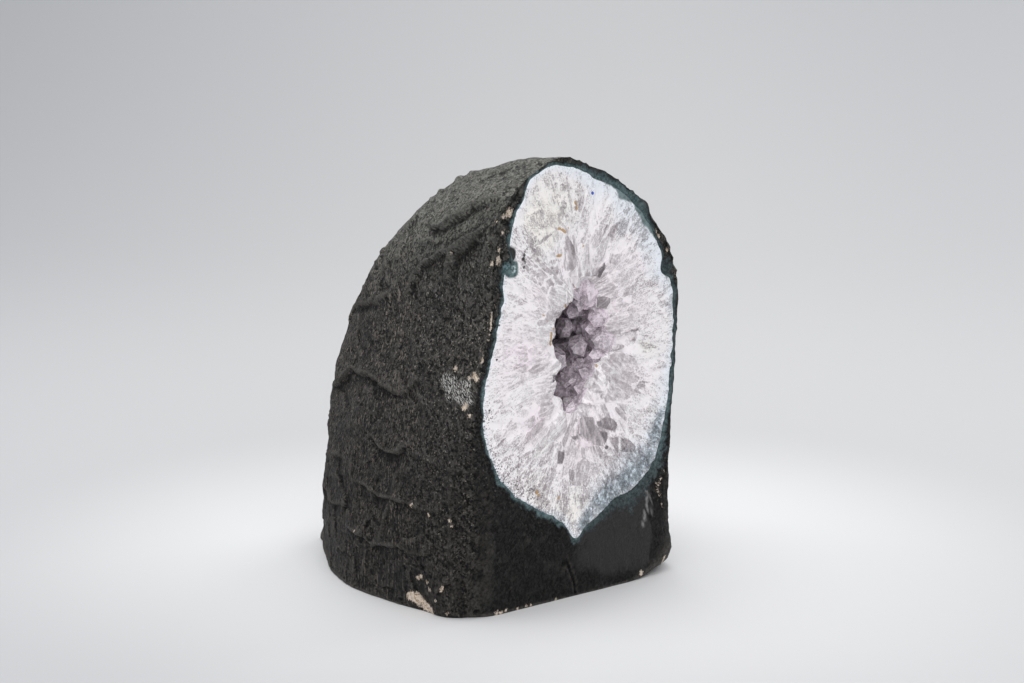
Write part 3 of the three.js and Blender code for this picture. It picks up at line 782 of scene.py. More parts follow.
def curtain():
    """The quartz face's own lines: from the hollow's mouth out to the rim, leaning towards the mouth's long
    axis."""
    dense = np.linspace(0, 2 * np.pi, 4001)
    outline = face_points(dense, quartz_radius(dense), QUARTZ_CENTRE)
    travelled = np.concatenate([[0], np.cumsum(np.linalg.norm(np.diff(outline, axis=0), axis=1))])
    theta = np.interp(np.linspace(0, travelled[-1], QUARTZ_COLUMNS + 1), travelled, dense)
    rim = face_points(theta, quartz_radius(theta) + 0.3, QUARTZ_CENTRE)
    phi = theta + 0.35 * np.sin(2 * theta)
    mouth = face_points(phi, mouth_radius(phi), MOUTH_CENTRE)
    rim[-1], mouth[-1] = rim[0], mouth[0]
    return theta, phi, mouth, rim


# Generated crystals of the sawn face, in rings from the mouth to the rim: distance from the mouth, count,
# half width and length
CRYSTAL_RINGS = [
    (-0.5, 16, 3.7, 18), (4, 18, 3.7, 18), (9, 22, 3.4, 17), (14, 28, 3, 15), (18.5, 36, 2.5, 13),
    (22.5, 46, 2.1, 11), (26.5, 60, 1.7, 9), (30.5, 76, 1.4, 7), (34.5, 90, 1.2, 6), (38.5, 100, 1.05, 5),
    (42.5, 100, 1, 4.5), (47, 90, 1, 4.5), (52, 70, 1, 4.5), (57, 50, 1, 4.5),
]
# Share of the generated crystals that are milky; the rest are clearer and greyer
CLOUDY_SHARE = 0.88


def crystal_table(seed):
    """Generated crystals, one per row: angle, distance from the mouth, half width, length, lean, height and
    three chances. They are few and broad near the mouth, and many and narrow near the rim."""
    table = []
    for k, (distance, count, half, length) in enumerate(CRYSTAL_RINGS):
        i = np.arange(count)
        mark = seed + 1000 * k + i
        turn = (i + 1.3 * chance(mark)) / count * 2 * np.pi
        away = distance + 4.5 * (chance(mark + 0.31) - 0.4)
        width = half * (0.35 + 1.15 * chance(mark + 0.17) ** 1.6)
        reach = length * (0.5 + 1.1 * chance(mark + 0.73))
        lean = (chance(mark + 0.57) - 0.5) * 1.0
        height = 0.95 * chance(mark + 0.47)
        drawn = [chance(mark + 0.61), chance(mark + 0.83), chance(mark + 0.05)]
        table.append(np.stack([turn, away, width, reach, lean, height, *drawn], axis=1))
    return np.concatenate(table)


class Mosaic:
    """What shows at each point of the sawn face: the highest crystal there, how far inside its border the
    point lies, how pale the crystal is there, its tint from cream (-1) to lilac (1), and its own lines."""

    def __init__(self, shape):
        self.height = np.full(shape, -0.8)
        self.border = np.zeros(shape)
        self.level = np.full(shape, 0.84)
        self.tint = np.zeros(shape)
        self.lines = np.zeros(shape + (3,))

    def lay(self, window, roof, inside, level, tint, lines):
        """Shows a crystal wherever its roof is above what is there."""
        lead = roof - self.height[window]
        on_top = (lead > 0) & (inside > 0)
        below = np.minimum(self.border[window], 1.6 * np.abs(lead))
        border = np.where(on_top, np.minimum(inside, 1.6 * lead), below)
        self.border[window] = np.where(inside > 0, border, self.border[window])
        self.height[window] = np.where(on_top, roof, self.height[window])
        self.level[window] = np.where(on_top, level, self.level[window])
        self.tint[window] = np.where(on_top, tint, self.tint[window])
        self.lines[window] = np.where(on_top[..., None], lines, self.lines[window])


def lay_crystal(mosaic, window, local, size, height, chances):
    """A crystal seen from its side: a prism of two sides that meet on a ridge, under a pointed tip of two
    faces, tapered to its tail. local holds how far along it each point lies from the tip, and how far
    across."""
    along, across = local
    half, length = size
    first, other, third = chances
    ridge = half * (2 * first - 1) * 0.5
    side = half * (1 - 0.5 * np.clip(along / length, 0, 1) ** 2) - np.abs(across)
    tip = along - (0.55 + 0.5 * third) * np.abs(across - 0.5 * ridge)
    inside = np.minimum(np.minimum(side, 0.75 * tip), 0.6 * (length - along))
    face = (across > ridge) + 2 * (tip < 0.8 * half)
    pick = chance(first * 71 + other * 13 + face * 0.37)
    roof = height + 0.5 * np.minimum(inside, 0.55 * half) + 0.12 * (pick - 0.5) * across / half
    milk = smooth(along / length, 0.2, 0.95)
    clear = blend(0.78 + 0.08 * third, 0.88, 0.8 * milk) + 0.06 * (pick - 0.5)
    cloudy = 0.865 + 0.07 * (third - 0.5) + 0.08 * (pick - 0.5) + 0.02 * milk
    level = np.where(other > CLOUDY_SHARE, clear, cloudy)
    lines = np.stack([across + 40 * first, along * 0.22 + 0 * across, 30 * other + 0 * across], axis=-1)
    mosaic.lay(window, roof, inside, level, 0.8 * (first - 0.45), lines)


def lay_generated(mosaic, points, theta, away, mouth, rim):
    way = (rim - mouth) / np.linalg.norm(rim - mouth, axis=1, keepdims=True)
    for turn, start, half, length, lean, height, *chances in crystal_table(40):
        turn = turn % (2 * np.pi)
        k = np.searchsorted(theta, turn) % len(theta)
        base = mouth[k] + way[k] * start
        direction = np.array([np.cos(lean) * way[k, 0] - np.sin(lean) * way[k, 2],
                              np.sin(lean) * way[k, 0] + np.cos(lean) * way[k, 2]])
        reach = half + length * abs(np.sin(lean))
        spacing = np.linalg.norm(points[:, k - 1, ::2] - points[:, k, ::2], axis=1)
        rows = np.nonzero((away[:, k] > start - 2) & (away[:, k] < start + length + 2))[0]
        if len(rows) == 0:
            continue
        span = int(reach * 1.3 / max(spacing[rows].mean(), 0.02)) + 2
        columns = np.arange(k - min(span, 300), k + min(span, 300)) % (len(theta) - 1)
        window = np.ix_(rows, columns)
        local = points[window][..., ::2] - base[::2]
        along = local @ direction
        across = local @ np.array([-direction[1], direction[0]])
        lay_crystal(mosaic, window, (along, across), (half, length), height, chances)


# Crystals that can be told apart on the face: outline as (x, z), height, paleness at their lowest and at
# their highest point, and tint from cream to lilac
KNOWN_CRYSTALS = [
    ([(-4.5, 132.8), (-6.4, 129.3), (-7.4, 121.9), (-6.4, 118.1), (-0.4, 119.8), (0.6, 124.3),
      (-2, 129.3)], 1.3, 0.76, 0.64, 0.5),
    ([(0.6, 116.4), (0.1, 121.3), (3, 125.6), (5, 127.3), (8.6, 126.3), (7.6, 120.7),
      (8.7, 116.8)], 1.5, 0.84, 0.88, 0.1),
    ([(-21.5, 130.4), (-19.6, 128.4), (-15.2, 130.7), (-10.4, 133.3), (-12.3, 134.2),
      (-16.2, 132.2)], 1.2, 0.76, 0.79, 0.4),
    ([(-24.8, 140.9), (-16.2, 142.5), (-8.4, 140.5), (-6.5, 136.7), (-15.2, 135.1),
      (-23.9, 135.7)], 1.4, 0.86, 0.84, -0.7),
    ([(11.5, 130.8), (11.9, 133.4), (14.5, 135.1), (16, 134.2), (14, 132.1),
      (12.5, 129.6)], 1.3, 0.66, 0.68, 0.4),
    ([(13.6, 121.5), (10.6, 118.7), (9.6, 116.2), (11.4, 115.8), (13.6, 118.9),
      (13.9, 121.1)], 1.4, 0.52, 0.54, 0.5),
    ([(16.1, 124.4), (21.3, 123.6), (23.4, 121.5), (19.3, 119.5), (15.1, 120.6)], 1.2, 0.75, 0.78, 0.3),
    ([(16.5, 134.6), (21.1, 135.7), (23.3, 132.2), (17.1, 130), (14, 131)], 1.2, 0.76, 0.78, 0.3),
    ([(11.7, 109.1), (16.8, 108.7), (15.8, 103.8), (9.7, 104.4)], 1.3, 0.66, 0.7, 0.5),
    ([(10.8, 102.9), (12.4, 103.7), (16, 100.5), (15.5, 99), (10.9, 99.9)], 1.4, 0.74, 0.78, 0.4),
    ([(21.2, 95.3), (23.8, 97), (30.7, 95.9), (31.8, 95.2), (26.5, 94.4), (22.3, 94.1)], 1.4, 0.66, 0.68, 0),
    ([(32.3, 93), (35.5, 92.5), (35, 91.2), (32.9, 91.6)], 1.4, 0.62, 0.66, 0.2),
    ([(27, 92.8), (29.7, 92.5), (29.2, 91), (27.1, 91.4)], 1.4, 0.66, 0.68, 0.2),
    ([(20.8, 88.4), (21.8, 90.6), (23.7, 90.2), (22.9, 88.8)], 1.6, 0.58, 0.62, 0.2),
    ([(12.1, 82.5), (19.8, 88.2), (28.5, 85.5), (32, 79), (31, 70.5), (22.6, 69.5), (7.6, 69.8),
      (3.5, 71.2)], 1.5, 0.82, 0.79, 0.3),
    ([(11.2, 82), (13.4, 83.6), (17.5, 77), (14.5, 70.2), (7.6, 69.9), (3.6, 71.3)], 1.56, 0.8, 0.83, 0.5),
    ([(26.2, 76.5), (34.2, 75.9), (34.2, 72.4), (26.8, 72.5)], 1.62, 0.8, 0.76, 0),
    ([(24, 80.7), (30.9, 80.1), (31, 78.7), (24.6, 79.2)], 1.65, 0.74, 0.7, -0.2),
    ([(29.7, 91.7), (39.4, 88.7), (40.5, 87), (32.9, 87.9)], 1.3, 0.73, 0.77, -0.6),
    ([(-19, 69.4), (-13.2, 68.6), (-15.1, 65), (-19.5, 61.8), (-24.9, 58.4), (-27.8, 60.4),
      (-22.9, 63.8)], 1.4, 0.86, 0.88, 0.6),
    ([(-13.1, 64.4), (-11.2, 63), (-13.1, 58.3), (-17, 55.4), (-21, 53.7), (-21.5, 56.1),
      (-16.1, 60.6)], 1.5, 0.9, 0.93, -0.5),
    ([(-11.2, 63), (-10.1, 57.9), (-13.1, 52.9), (-15.1, 52.1), (-17, 53.9),
      (-13.1, 57.1)], 1.4, 0.8, 0.83, 0.6),
    ([(-8.1, 55.3), (-5.1, 54.5), (-6.1, 50), (-9.1, 50.8)], 1.5, 0.68, 0.56, 0.1),
    ([(-3.6, 48.1), (-0.5, 47.2), (-0.5, 44.1), (-3, 44.1)], 1.3, 0.75, 0.75, -0.4),
    ([(-2.1, 59.8), (1.4, 59.7), (1.4, 56.2), (-0.6, 56.1)], 1.4, 0.64, 0.68, 0.3),
    ([(2, 66.6), (8.6, 65.3), (12.3, 59.7), (13.9, 53.3), (8.2, 55.3), (2, 60)], 1.4, 0.8, 0.78, 0.4),
    ([(9.7, 63.6), (14.8, 65.3), (19, 63.1), (21.1, 60.9), (19.1, 58.8), (15.9, 59.6),
      (11.2, 61.4)], 1.3, 0.67, 0.71, 0.2),
    ([(11.8, 59.8), (14.9, 59), (15.7, 56.9), (14.4, 54.8), (13.1, 56.5)], 1.6, 0.58, 0.62, 0.2),
    ([(14, 53.5), (14.6, 54.4), (15.5, 54.4), (16, 53.5), (15.4, 52.6), (14.6, 52.6)], 1.7, 0.5, 0.5, 0.2),
    ([(16, 56.9), (21.2, 56.6), (21.3, 49.5), (17.6, 53.9)], 1.3, 0.67, 0.7, 0.4),
    ([(21.7, 56.5), (26.5, 54.6), (30.3, 51.7), (29.2, 49.5), (22.9, 50.4)], 1.3, 0.66, 0.7, 0.2),
    ([(12.9, 51.9), (20.2, 50), (21.9, 44.2), (17.7, 41.7), (13.5, 47.1)], 1.4, 0.87, 0.88, 0),
    ([(-31.1, 87.9), (-27.3, 89.3), (-23.5, 89.2), (-23, 88), (-27.8, 87.1)], 1.3, 0.79, 0.81, 0.5),
    ([(-23.4, 86.2), (-20.5, 87.6), (-12.2, 88.3), (-15.2, 84.9), (-19.1, 83.9)], 1.3, 0.77, 0.81, 0.5),
    ([(-14.7, 84.8), (-8.8, 88.7), (-6.6, 86.9), (-6.8, 82.4)], 1.6, 0.92, 0.93, 0.1),
    ([(-33.9, 102.6), (-29.7, 101.8), (-30.2, 100.3), (-32.5, 100.6)], 1.3, 0.76, 0.78, 0.2),
    ([(-28.3, 106.4), (-22.5, 107), (-23, 105.5), (-29.7, 104.7)], 1.3, 0.79, 0.81, 0.5),
    ([(-26.8, 75.1), (-21.5, 73.3), (-22.9, 71.6), (-26.3, 73.1)], 1.3, 0.74, 0.78, -0.2),
    ([(30.2, 53.3), (33.5, 53.9), (36.7, 52.8), (35.6, 51.4)], 1.4, 0.95, 0.95, 0),
    ([(-9, 106), (-18, 99), (-21, 100.5), (-14.8, 106.8)], 1.2, 0.8, 0.84, 0.3),
    ([(23, 112), (29, 109.5), (27, 104), (21, 105.5)], 1.2, 0.79, 0.82, 0.2),
    ([(27, 119), (33, 116), (32, 111.5), (26.5, 114)], 1.2, 0.8, 0.82, 0.2),
    ([(-11, 119.5), (-8, 112), (-12, 108.5), (-17, 112.5), (-16, 118)], 1.2, 0.84, 0.87, -0.1),
]


def lay_known(mosaic, points):
    """The crystals of KNOWN_CRYSTALS, each inside its outline, whose sides waver a little."""
    x, z = points[..., 0], points[..., 2]
    shift = 0.35 * np.stack([rough(points, 2.6, 2, 77), rough(points, 2.6, 2, 78)], axis=-1)
    everywhere = (slice(None), slice(None))
    for k, (outline, height, low, high, tint) in enumerate(KNOWN_CRYSTALS):
        corners = np.array(outline, float)
        following = np.roll(corners, -1, axis=0)
        turned = np.sign((corners[:, 0] * following[:, 1] - corners[:, 1] * following[:, 0]).sum())
        inside = np.full(x.shape, np.inf)
        for (ax, az), (bx, bz) in zip(corners, following):
            run = np.hypot(bx - ax, bz - az)
            out = (bx - ax) * (z + shift[..., 1] - az) - (bz - az) * (x + shift[..., 0] - ax)
            inside = np.minimum(inside, turned * out / run)
        middle = corners.mean(axis=0)
        turn = np.arctan2(middle[1] - MOUTH_CENTRE[1], middle[0] - MOUTH_CENTRE[0])
        across = -np.sin(turn) * x + np.cos(turn) * z
        along = np.cos(turn) * x + np.sin(turn) * z
        lines = np.stack([0.5 * across + 9 * k, 0.13 * along, 0 * x + 5 * k], axis=-1)
        share = np.clip((z - corners[:, 1].min()) / np.ptp(corners[:, 1]), 0, 1)
        level = blend(low, high, share) - 0.045
        mosaic.lay(everywhere, height + 0.3 * np.minimum(inside, 1.6), inside, level, tint, lines)


# Soft spots of cream and of lilac in the quartz: (x, z), radius and tint
TINTS = [
    (-16, 139, 10, -0.9), (-14, 130, 9, -0.4), (-14, 59, 7, -0.3), (-27, 77, 8, -0.5), (34, 88, 6, -0.7),
    (0, 44, 9, -0.4), (3, 28, 8, -0.5), (-20, 45, 9, -0.3), (-26, 92, 14, 0.4), (-20, 66, 10, 0.7),
    (6, 58, 9, 0.5), (16, 106, 9, 0.25), (20, 124, 10, 0.15), (-4, 126, 8, 0.35), (-8, 50, 8, 0.2),
    (14, 44, 9, 0.2), (24, 78, 12, 0.3),
]


def tint_share(points):
    """How cream (below 0) or lilac (above 0) the quartz is, from the soft spots and broad noise."""
    total = 0.35 * rough(points, 16.0, 2, 95)
    for x, z, radius, tint in TINTS:
        total = total + tint * np.exp(-((points[..., 0] - x) ** 2 + (points[..., 2] - z) ** 2) / radius**2)
    return total


# Bright and dark threads that can be told apart on the face: (x, z) points, half width and strength. The
# bright one at x -4.5, from z 122 to 127, is a painted highlight.
THREADS = [
    ([(-21.5, 132.6), (-17.6, 134.2), (-13.3, 134.6), (-9.4, 134.5)], 0.5, 1),
    ([(-19.5, 123.3), (-15.2, 124), (-8.4, 125)], 0.45, 0.8),
    ([(-21.9, 121.3), (-16.2, 121.9), (-7.9, 122.3)], 0.45, 0.8),
    ([(19.6, 135.9), (16, 133.8), (12.5, 129.2)], 0.5, 1),
    ([(13.4, 138.5), (10.9, 135.7), (10.4, 132.7)], 0.5, 1),
    ([(31.1, 69.8), (22.6, 69.3), (9.6, 70), (4.5, 72.2)], 0.5, 1),
    ([(11.6, 81.7), (14.6, 86), (19.8, 88.2)], 0.45, 0.9),
    ([(-8.6, 57.6), (-10.1, 54.4), (-11.6, 50)], 0.5, 1),
    ([(15.9, 59.2), (19.1, 57.8), (22.8, 58.3)], 0.6, 1),
    # A painted highlight on the crystal there
    ([(-4.4, 127.3), (-4.7, 125.4), (-4.4, 122.4)], 0.4, 1),
    ([(14.5, 118), (17, 114), (21.5, 111.5)], 0.5, 0.9), ([(27, 84.5), (29, 80), (32, 77)], 0.4, 0.8),
    ([(-19.1, 144.9), (-16.2, 141), (-14.8, 140.2)], 0.7, -0.5),
    ([(12.5, 84.5), (17, 87.6), (21, 89.3)], 0.5, -0.4), ([(-2, 131.5), (0.8, 126), (0.2, 120)], 0.5, -0.5),
    ([(-8.4, 131), (-8.6, 124), (-7.6, 118)], 0.5, -0.4),
]


def thread_share(points):
    flat = points[..., ::2]
    total = 0.0
    for line, half, strength in THREADS:
        distance, _, along = along_line(flat, line)
        total = total + strength * np.exp(-((distance / half) ** 2)) * smooth(np.sin(np.pi * along), 0, 0.4)
    return np.clip(total, -1, 1)


def quartz_and_lining():
    """The sawn quartz and the hollow's lining, on one set of lines from the mouth to the rim. The quartz is
    cut level with the face wherever a crystal reaches it, and sinks towards the mouth."""
    theta, phi, mouth, rim = curtain()
    length = np.linalg.norm(rim - mouth, axis=1)
    near_rows = np.linspace(0, CRUST, CRUST_ROWS + 1)[:, None] * np.ones_like(length)
    share = np.linspace(0, 1, QUARTZ_ROWS + 1)[1:, None]
    away = np.concatenate([near_rows, CRUST + (length - CRUST) * share])
    points = mouth + (rim - mouth) / length[:, None] * away[..., None]
    mosaic = Mosaic(away.shape)
    lay_generated(mosaic, points, theta, away, mouth, rim)
    lay_known(mosaic, points)
    for values in (mosaic.height, mosaic.border, mosaic.level, mosaic.tint, mosaic.lines):
        values[:, -1] = values[:, 0]
    to_rim = length - away
    sink = np.clip(1.1 - mosaic.height, 0, 2) * (0.22 + 1.0 * (1 - smooth(away, 1, 14)))
    sink = sink * smooth(to_rim, 0, 6) + 0.05 * (1 + rough(points, 0.9, 2, 12)) * smooth(to_rim, 0, 2)
    open_side = 0.5 + 0.5 * np.cos(phi - 0.3)
    uneven = 1 + 0.5 * rough(points, 5.0, 2, 61)
    funnel = (0.6 + 2.0 * open_side) * (1 - smooth(away, 0, 2.5 + 3.0 * open_side)) * uneven
    edge = 0.45 * (1 - smooth(to_rim, 0, 0.7))
    points[..., 1] = np.clip(sink + funnel + edge, 0, 9)
    z = points[..., 2]
    zones = rough(ray_lines(theta, away) * [1.0, 1.0, 0.5], 8.0, 2, 96)
    level = mosaic.level + (0.04 + 0.09 * smooth(z, 90, 130)) * zones + 0.02 * smooth(z, 70, 90)
    level = level - 0.13 * (1 - smooth(z, 35, 80)) - 0.07 * smooth(z, 112, 135) - 0.05
    level = level - 0.04 * (1 - smooth(away, 0, 14)) - 0.08 * (1 - smooth(away, 0, 8)) * open_side
    sugar = blend(1.3, 0.45, smooth(to_rim, 6, 34)) * (1 - 0.75 * near(points, (-27, 0, 98), (17, 9, 22)))
    blobs, notch, glint = blob_share(points)
    reach = np.interp(np.rad2deg(theta) % 360, [44, 58, 72, 90], [0.0, 2.4, 2.0, 0.0])
    reach = np.maximum(reach * (1 + 0.8 * rough(points, 3.0, 2, 94)), 0.01)
    blobs = np.maximum(blobs, 0.9 * (1 - smooth(to_rim / reach, 0.6, 1.1)))
    fields = {
        "level": level,
        "tint": np.clip(0.45 * mosaic.tint + tint_share(points), -1, 1),
        "thread": thread_share(points),
        "border": np.clip(mosaic.border, 0, 3),
        "lines": mosaic.lines,
        "from_rim": to_rim,
        "sugar": sugar,
        "rays": ray_lines(theta, away),
        "depth": points[..., 1],
        "blue": blue_share(points, theta, to_rim),
        "slate": slate_share(points),
        "pepper": pepper_share(points, theta, to_rim),
        "stain": stain_share(points),
        "dark": speck_share(points),
        "azure": near(points, (7.4, 0, 146.4), 0.75),
        "blob": blobs,
        "notch": notch,
        "glint": glint,
    }
    return points, fields


def ray_lines(theta, away):
    """A place for patterns that run out from the mouth: round the rim as a circle, and out along it."""
    ring = 50.0
    return np.stack([ring * np.cos(theta) + 0 * away, ring * np.sin(theta) + 0 * away, away], axis=-1)


def blue_share(points, theta, to_rim):
    """Pale blue that has grown into the quartz along its rim, widest at the upper right and lower right."""
    degrees = np.rad2deg(theta) % 360
    at = [0, 20, 40, 55, 70, 85, 100, 120, 200, 250, 275, 290, 305, 320, 335, 350, 360]
    width = [2.5, 5.0, 10.0, 13.0, 11.0, 8.0, 3.0, 1.5, 1.5, 1.5, 7.0, 11.0, 12.0, 12.0, 8.0, 4.0, 2.5]
    reach = np.interp(degrees, at, width) * (1 + 0.35 * rough(points, 7.0, 2, 97))
    return np.clip(1 - to_rim / np.maximum(reach, 0.5), 0, 1) ** 0.7


def slate_share(points):
    """Slate-blue grains that darken the quartz at the lower right."""
    line = [(4.0, 26.0), (13.0, 33.0), (24.0, 38.5), (33.0, 43.0), (38.5, 50.0), (43.0, 62.0)]
    distance, _, along = along_line(points[..., ::2], line)
    reach = np.interp(along, [0, 0.25, 0.5, 0.75, 1], [3.0, 6.0, 9.0, 6.5, 3.0])
    return np.clip(np.exp(-((distance / reach) ** 2)) * (1 + 0.35 * rough(points, 5.0, 2, 98)), 0, 1)


def blob_share(points):
    """The two blue-green blobs that reach into the quartz from its rim, the dark notch above the left one,
    and the pale glint on it."""
    uneven = 1 + 0.25 * noise(points, 2.5, 99)
    x, z = points[..., 0], points[..., 2]
    shares = []
    for places in ([(-30.2, 122.2, 4.0, 3.6), (44.6, 117.0, 2.6, 4.3)], [(-31.2, 127.4, 3.2, 3.4)]):
        share = 0.0
        for middle_x, middle_z, across, up in places:
            away = np.hypot((x - middle_x) / across, (z - middle_z) / up)
            share = np.maximum(share, 1 - smooth(away * uneven, 0.8, 1.0))
        shares.append(share)
    glint = 1 - smooth(np.hypot(x + 28.9, (z - 122.2) / 1.4), 0.5, 1.3)
    return shares[0], shares[1], glint


def pepper_share(points, theta, to_rim):
    """Where black grains are strewn in the quartz: along the lower left rim and by its left side."""
    degrees = np.rad2deg(theta) % 360
    at = [0, 180, 195, 205, 222, 245, 262, 272, 285, 360]
    strength = [0.15, 0.2, 0.5, 0.8, 1.0, 1.0, 0.6, 0.3, 0.15, 0.15]
    share = np.interp(degrees, at, strength) * (1 - smooth(to_rim, 0.5, 6.5))
    for x, z, radius in ((-31, 49, 5), (-24, 44, 5), (-19, 41, 4), (-39.5, 71.5, 2.5), (-28, 55, 5)):
        share = share + 0.6 * near(points * ONTO_FACE, (x, 0, z), radius)
    return np.clip(share, 0, 1)


def stain_share(points):
    """Rust-gold stains, where iron has come in along cracks."""
    spots = [
        (-3.7, 134.7, 0.6), (3.0, 127.6, 0.7), (-10.8, 94.3, 0.9), (-15.3, 104.8, 0.7), (-18.5, 41.9, 0.9),
        (-17.5, 40.6, 0.8), (-10.5, 99.5, 0.7), (1.0, 112.6, 0.8), (12.4, 83.4, 0.8), (-8.0, 38.0, 0.8),
    ]
    veins = [
        [(-8.6, 135.0), (-6.7, 134.5), (-5.2, 133.2)], [(-0.3, 143.7), (0.1, 141.3)],
        [(-9.0, 125.4), (-7.4, 125.4)], [(1.1, 111.9), (1.3, 109.4), (0.9, 106.8)],
        [(-2.2, 108.1), (-1.6, 106.2)], [(-4.9, 102.4), (-3.0, 103.5), (-1.0, 103.7), (2.3, 104.3)],
        [(-11.7, 98.3), (-11.9, 95.0), (-9.5, 93.6)],
    ]
    flat = points * ONTO_FACE
    total = spots_share(flat, [(x, 0, z, radius) for x, z, radius in spots])
    for line in veins:
        away = along_line(flat[..., ::2], line)[0]
        total = np.maximum(total, 1.4 * np.exp(-((away / 0.55) ** 2)))
    return np.clip(total, 0, 1)


def speck_share(points):
    """Black grit in the quartz: hatching along a crevice at the upper left, and single grains."""
    flat = points * ONTO_FACE
    crevice = [(-11.3, 133.7), (-15.2, 132.2), (-19.6, 131), (-22.4, 129.4), (-24.3, 127), (-23.9, 124.4)]
    distance, _, along = along_line(flat[..., ::2], crevice)
    hatch = 0.62 * np.exp(-((distance / 1.0) ** 2)) * (0.5 + 0.5 * along)
    grains = [
        (-36.7, 91.6), (-40, 74), (-2, 107.5), (-35.6, 103.3), (-41.5, 87.3), (-25, 125.4), (-24.4, 122.6),
    ]
    single = spots_share(flat, [(x, 0, z, 0.6) for x, z in grains])
    return np.clip(hatch + single, 0, 1)


def bowl_swell(turned, belly):
    """How a bowl swells by belly on its way from the lip, where turned is 0, to the bottom, where it is half
    pi."""
    return 1 + (belly - 1) * np.sin(np.minimum(turned * BELLY_TURN, np.pi))


def bowl_behind(middle, lip, depth, rows, belly=1.0):
    """Rows of points from a lip to the bottom of a bowl: the lip's distance from the middle falls as a power
    of cos, its depth grows as sin, and it may swell by belly on the way."""
    turned = np.linspace(0, np.pi / 2, rows + 1)[1:, None]
    centre = np.array([middle[0], 0, middle[1]])
    share = np.cos(turned) ** BOWL_FALL * bowl_swell(turned, belly)
    points = centre + (lip - centre) * share[..., None]
    points[..., 1] = lip[:, 1] + (depth - lip[:, 1]) * np.sin(turned)
    return points


def extend_rows(values, before, after):
    """Repeats the first row of a field before it and the last row after it."""
    first, last = np.repeat(values[:1], before, axis=0), np.repeat(values[-1:], after, axis=0)
    return np.concatenate([first, values, last])


def flatten(values):
    return values.reshape(-1, 3) if values.ndim == 3 else values.ravel()


def sawn_quartz(points, fields):
    """The quartz from the crust's outer edge to the rim, closed behind by a bowl, with a smaller bowl round
    the crust inside it."""
    face = points[CRUST_ROWS:]
    inner = bowl_behind(MOUTH_CENTRE, face[0], HOLLOW_DEPTH + CRUST, 8, HOLLOW_BELLY)[::-1]
    outer = bowl_behind(QUARTZ_CENTRE, face[-1], QUARTZ_DEPTH, 8)
    whole = np.concatenate([inner, face, outer])
    spread = {n: flatten(extend_rows(v[CRUST_ROWS:], len(inner), len(outer))) for n, v in fields.items()}
    faces = grid_faces(*whole.shape[:2], 0, True)
    welded, faces, first = weld(whole.reshape(-1, 3), faces)
    spread = {name: values[first] for name, values in spread.items()}
    return make_mesh("sawn_quartz", keep_in_box(welded), faces, spread, [milky_quartz])


def hollow_lining(points, fields):
    """The crust's rim on the sawn face and its bowl inside the hollow, broken into facets, closed behind at
    the crust's thickness."""
    face = points[:CRUST_ROWS + 1][::-1]
    bowl = bowl_behind(MOUTH_CENTRE, face[-1], HOLLOW_DEPTH, HOLLOW_ROWS, HOLLOW_BELLY)
    facet = facets(bowl + 0.8 * noise(bowl, 4.0, 15)[..., None], 5.0, 16) * 4.0
    facet = facet + 0.5 * rough(bowl, 2.2, 2, 14)
    bowl = bowl + facet[..., None] * np.array([0.6, 0.7, 0.6]) * np.linspace(1, 0, len(bowl))[:, None, None]
    bowl[:, -1] = bowl[:, 0]
    behind = bowl_behind(MOUTH_CENTRE, face[0], HOLLOW_DEPTH + CRUST - 0.3, 8, HOLLOW_BELLY - 0.02)[::-1]
    whole = np.concatenate([face, bowl, behind, face[:1]])
    after = len(whole) - len(face)
    spread = {n: flatten(extend_rows(v[:CRUST_ROWS + 1][::-1], 0, after)) for n, v in fields.items()}
    spread["depth"] = whole[..., 1].ravel()
    inside = np.arange(len(whole))[:, None] >= len(face)
    spread["border"] = np.where(inside, 3.0, spread["border"].reshape(len(whole), -1)).ravel()
    faces = grid_faces(*whole.shape[:2], 0, False)
    slots = (np.repeat(np.arange(len(whole) - 1), whole.shape[1] - 1) >= CRUST_ROWS).astype(int)
    welded, faces, first = weld(whole.reshape(-1, 3), faces)
    return welded, faces, {name: values[first] for name, values in spread.items()}, slots


# Points that grow from the hollow's walls close behind the mouth: root, aim, radius and length
SHALLOW_POINTS = np.array([
    (20.5, 7, 91.5, -1, -0.35, 0.1, 5.6, 9.5), (18, 6.5, 102, -1, -0.3, -0.35, 4.2, 8),
    (11.5, 6, 113, -0.45, -0.3, -1, 4.6, 8.5), (3, 5.5, 115, 0.1, -0.35, -1, 3.8, 7.5),
    (17, 9, 97, -1, -0.25, -0.1, 3.4, 6.5), (17, 7, 85, -1, -0.3, 0.35, 4, 7),
    (13, 8, 79, -1, -0.2, 0.5, 3.8, 6.5), (9, 7.5, 72, -0.8, -0.25, 0.7, 3.6, 6.5),
    (2, 6.5, 65, 0.1, -0.3, 1, 3.6, 6.5), (14, 7.5, 108, -0.8, -0.2, -0.7, 3.4, 6.5),
    (-6, 8, 70, 0.8, -0.2, 0.8, 3.2, 6), (7, 8, 108, -0.2, -0.5, -0.8, 3, 5.5),
    (19, 12, 95, -1, -0.2, 0.3, 4.4, 7.5), (14, 14, 88, -0.9, -0.4, 0.2, 4, 7),
    (15, 13, 78, -0.8, -0.5, 0.4, 4, 7), (11, 14, 104, -0.7, -0.5, -0.5, 4.2, 7),
    (9, 16, 96, -0.6, -0.7, 0.2, 4, 6.5), (4, 17, 84, 0.1, -0.8, 0.4, 4.2, 6.5),
], float)
# Rings of generated points down the hollow: share of its depth, count and radius
POINT_RINGS = [
    (0.16, 14, 2.3), (0.27, 13, 2.9), (0.39, 12, 3.3), (0.51, 11, 3.7), (0.63, 9, 3.9), (0.76, 7, 4.1),
    (0.88, 5, 4.2), (0.98, 2, 4.4),
]


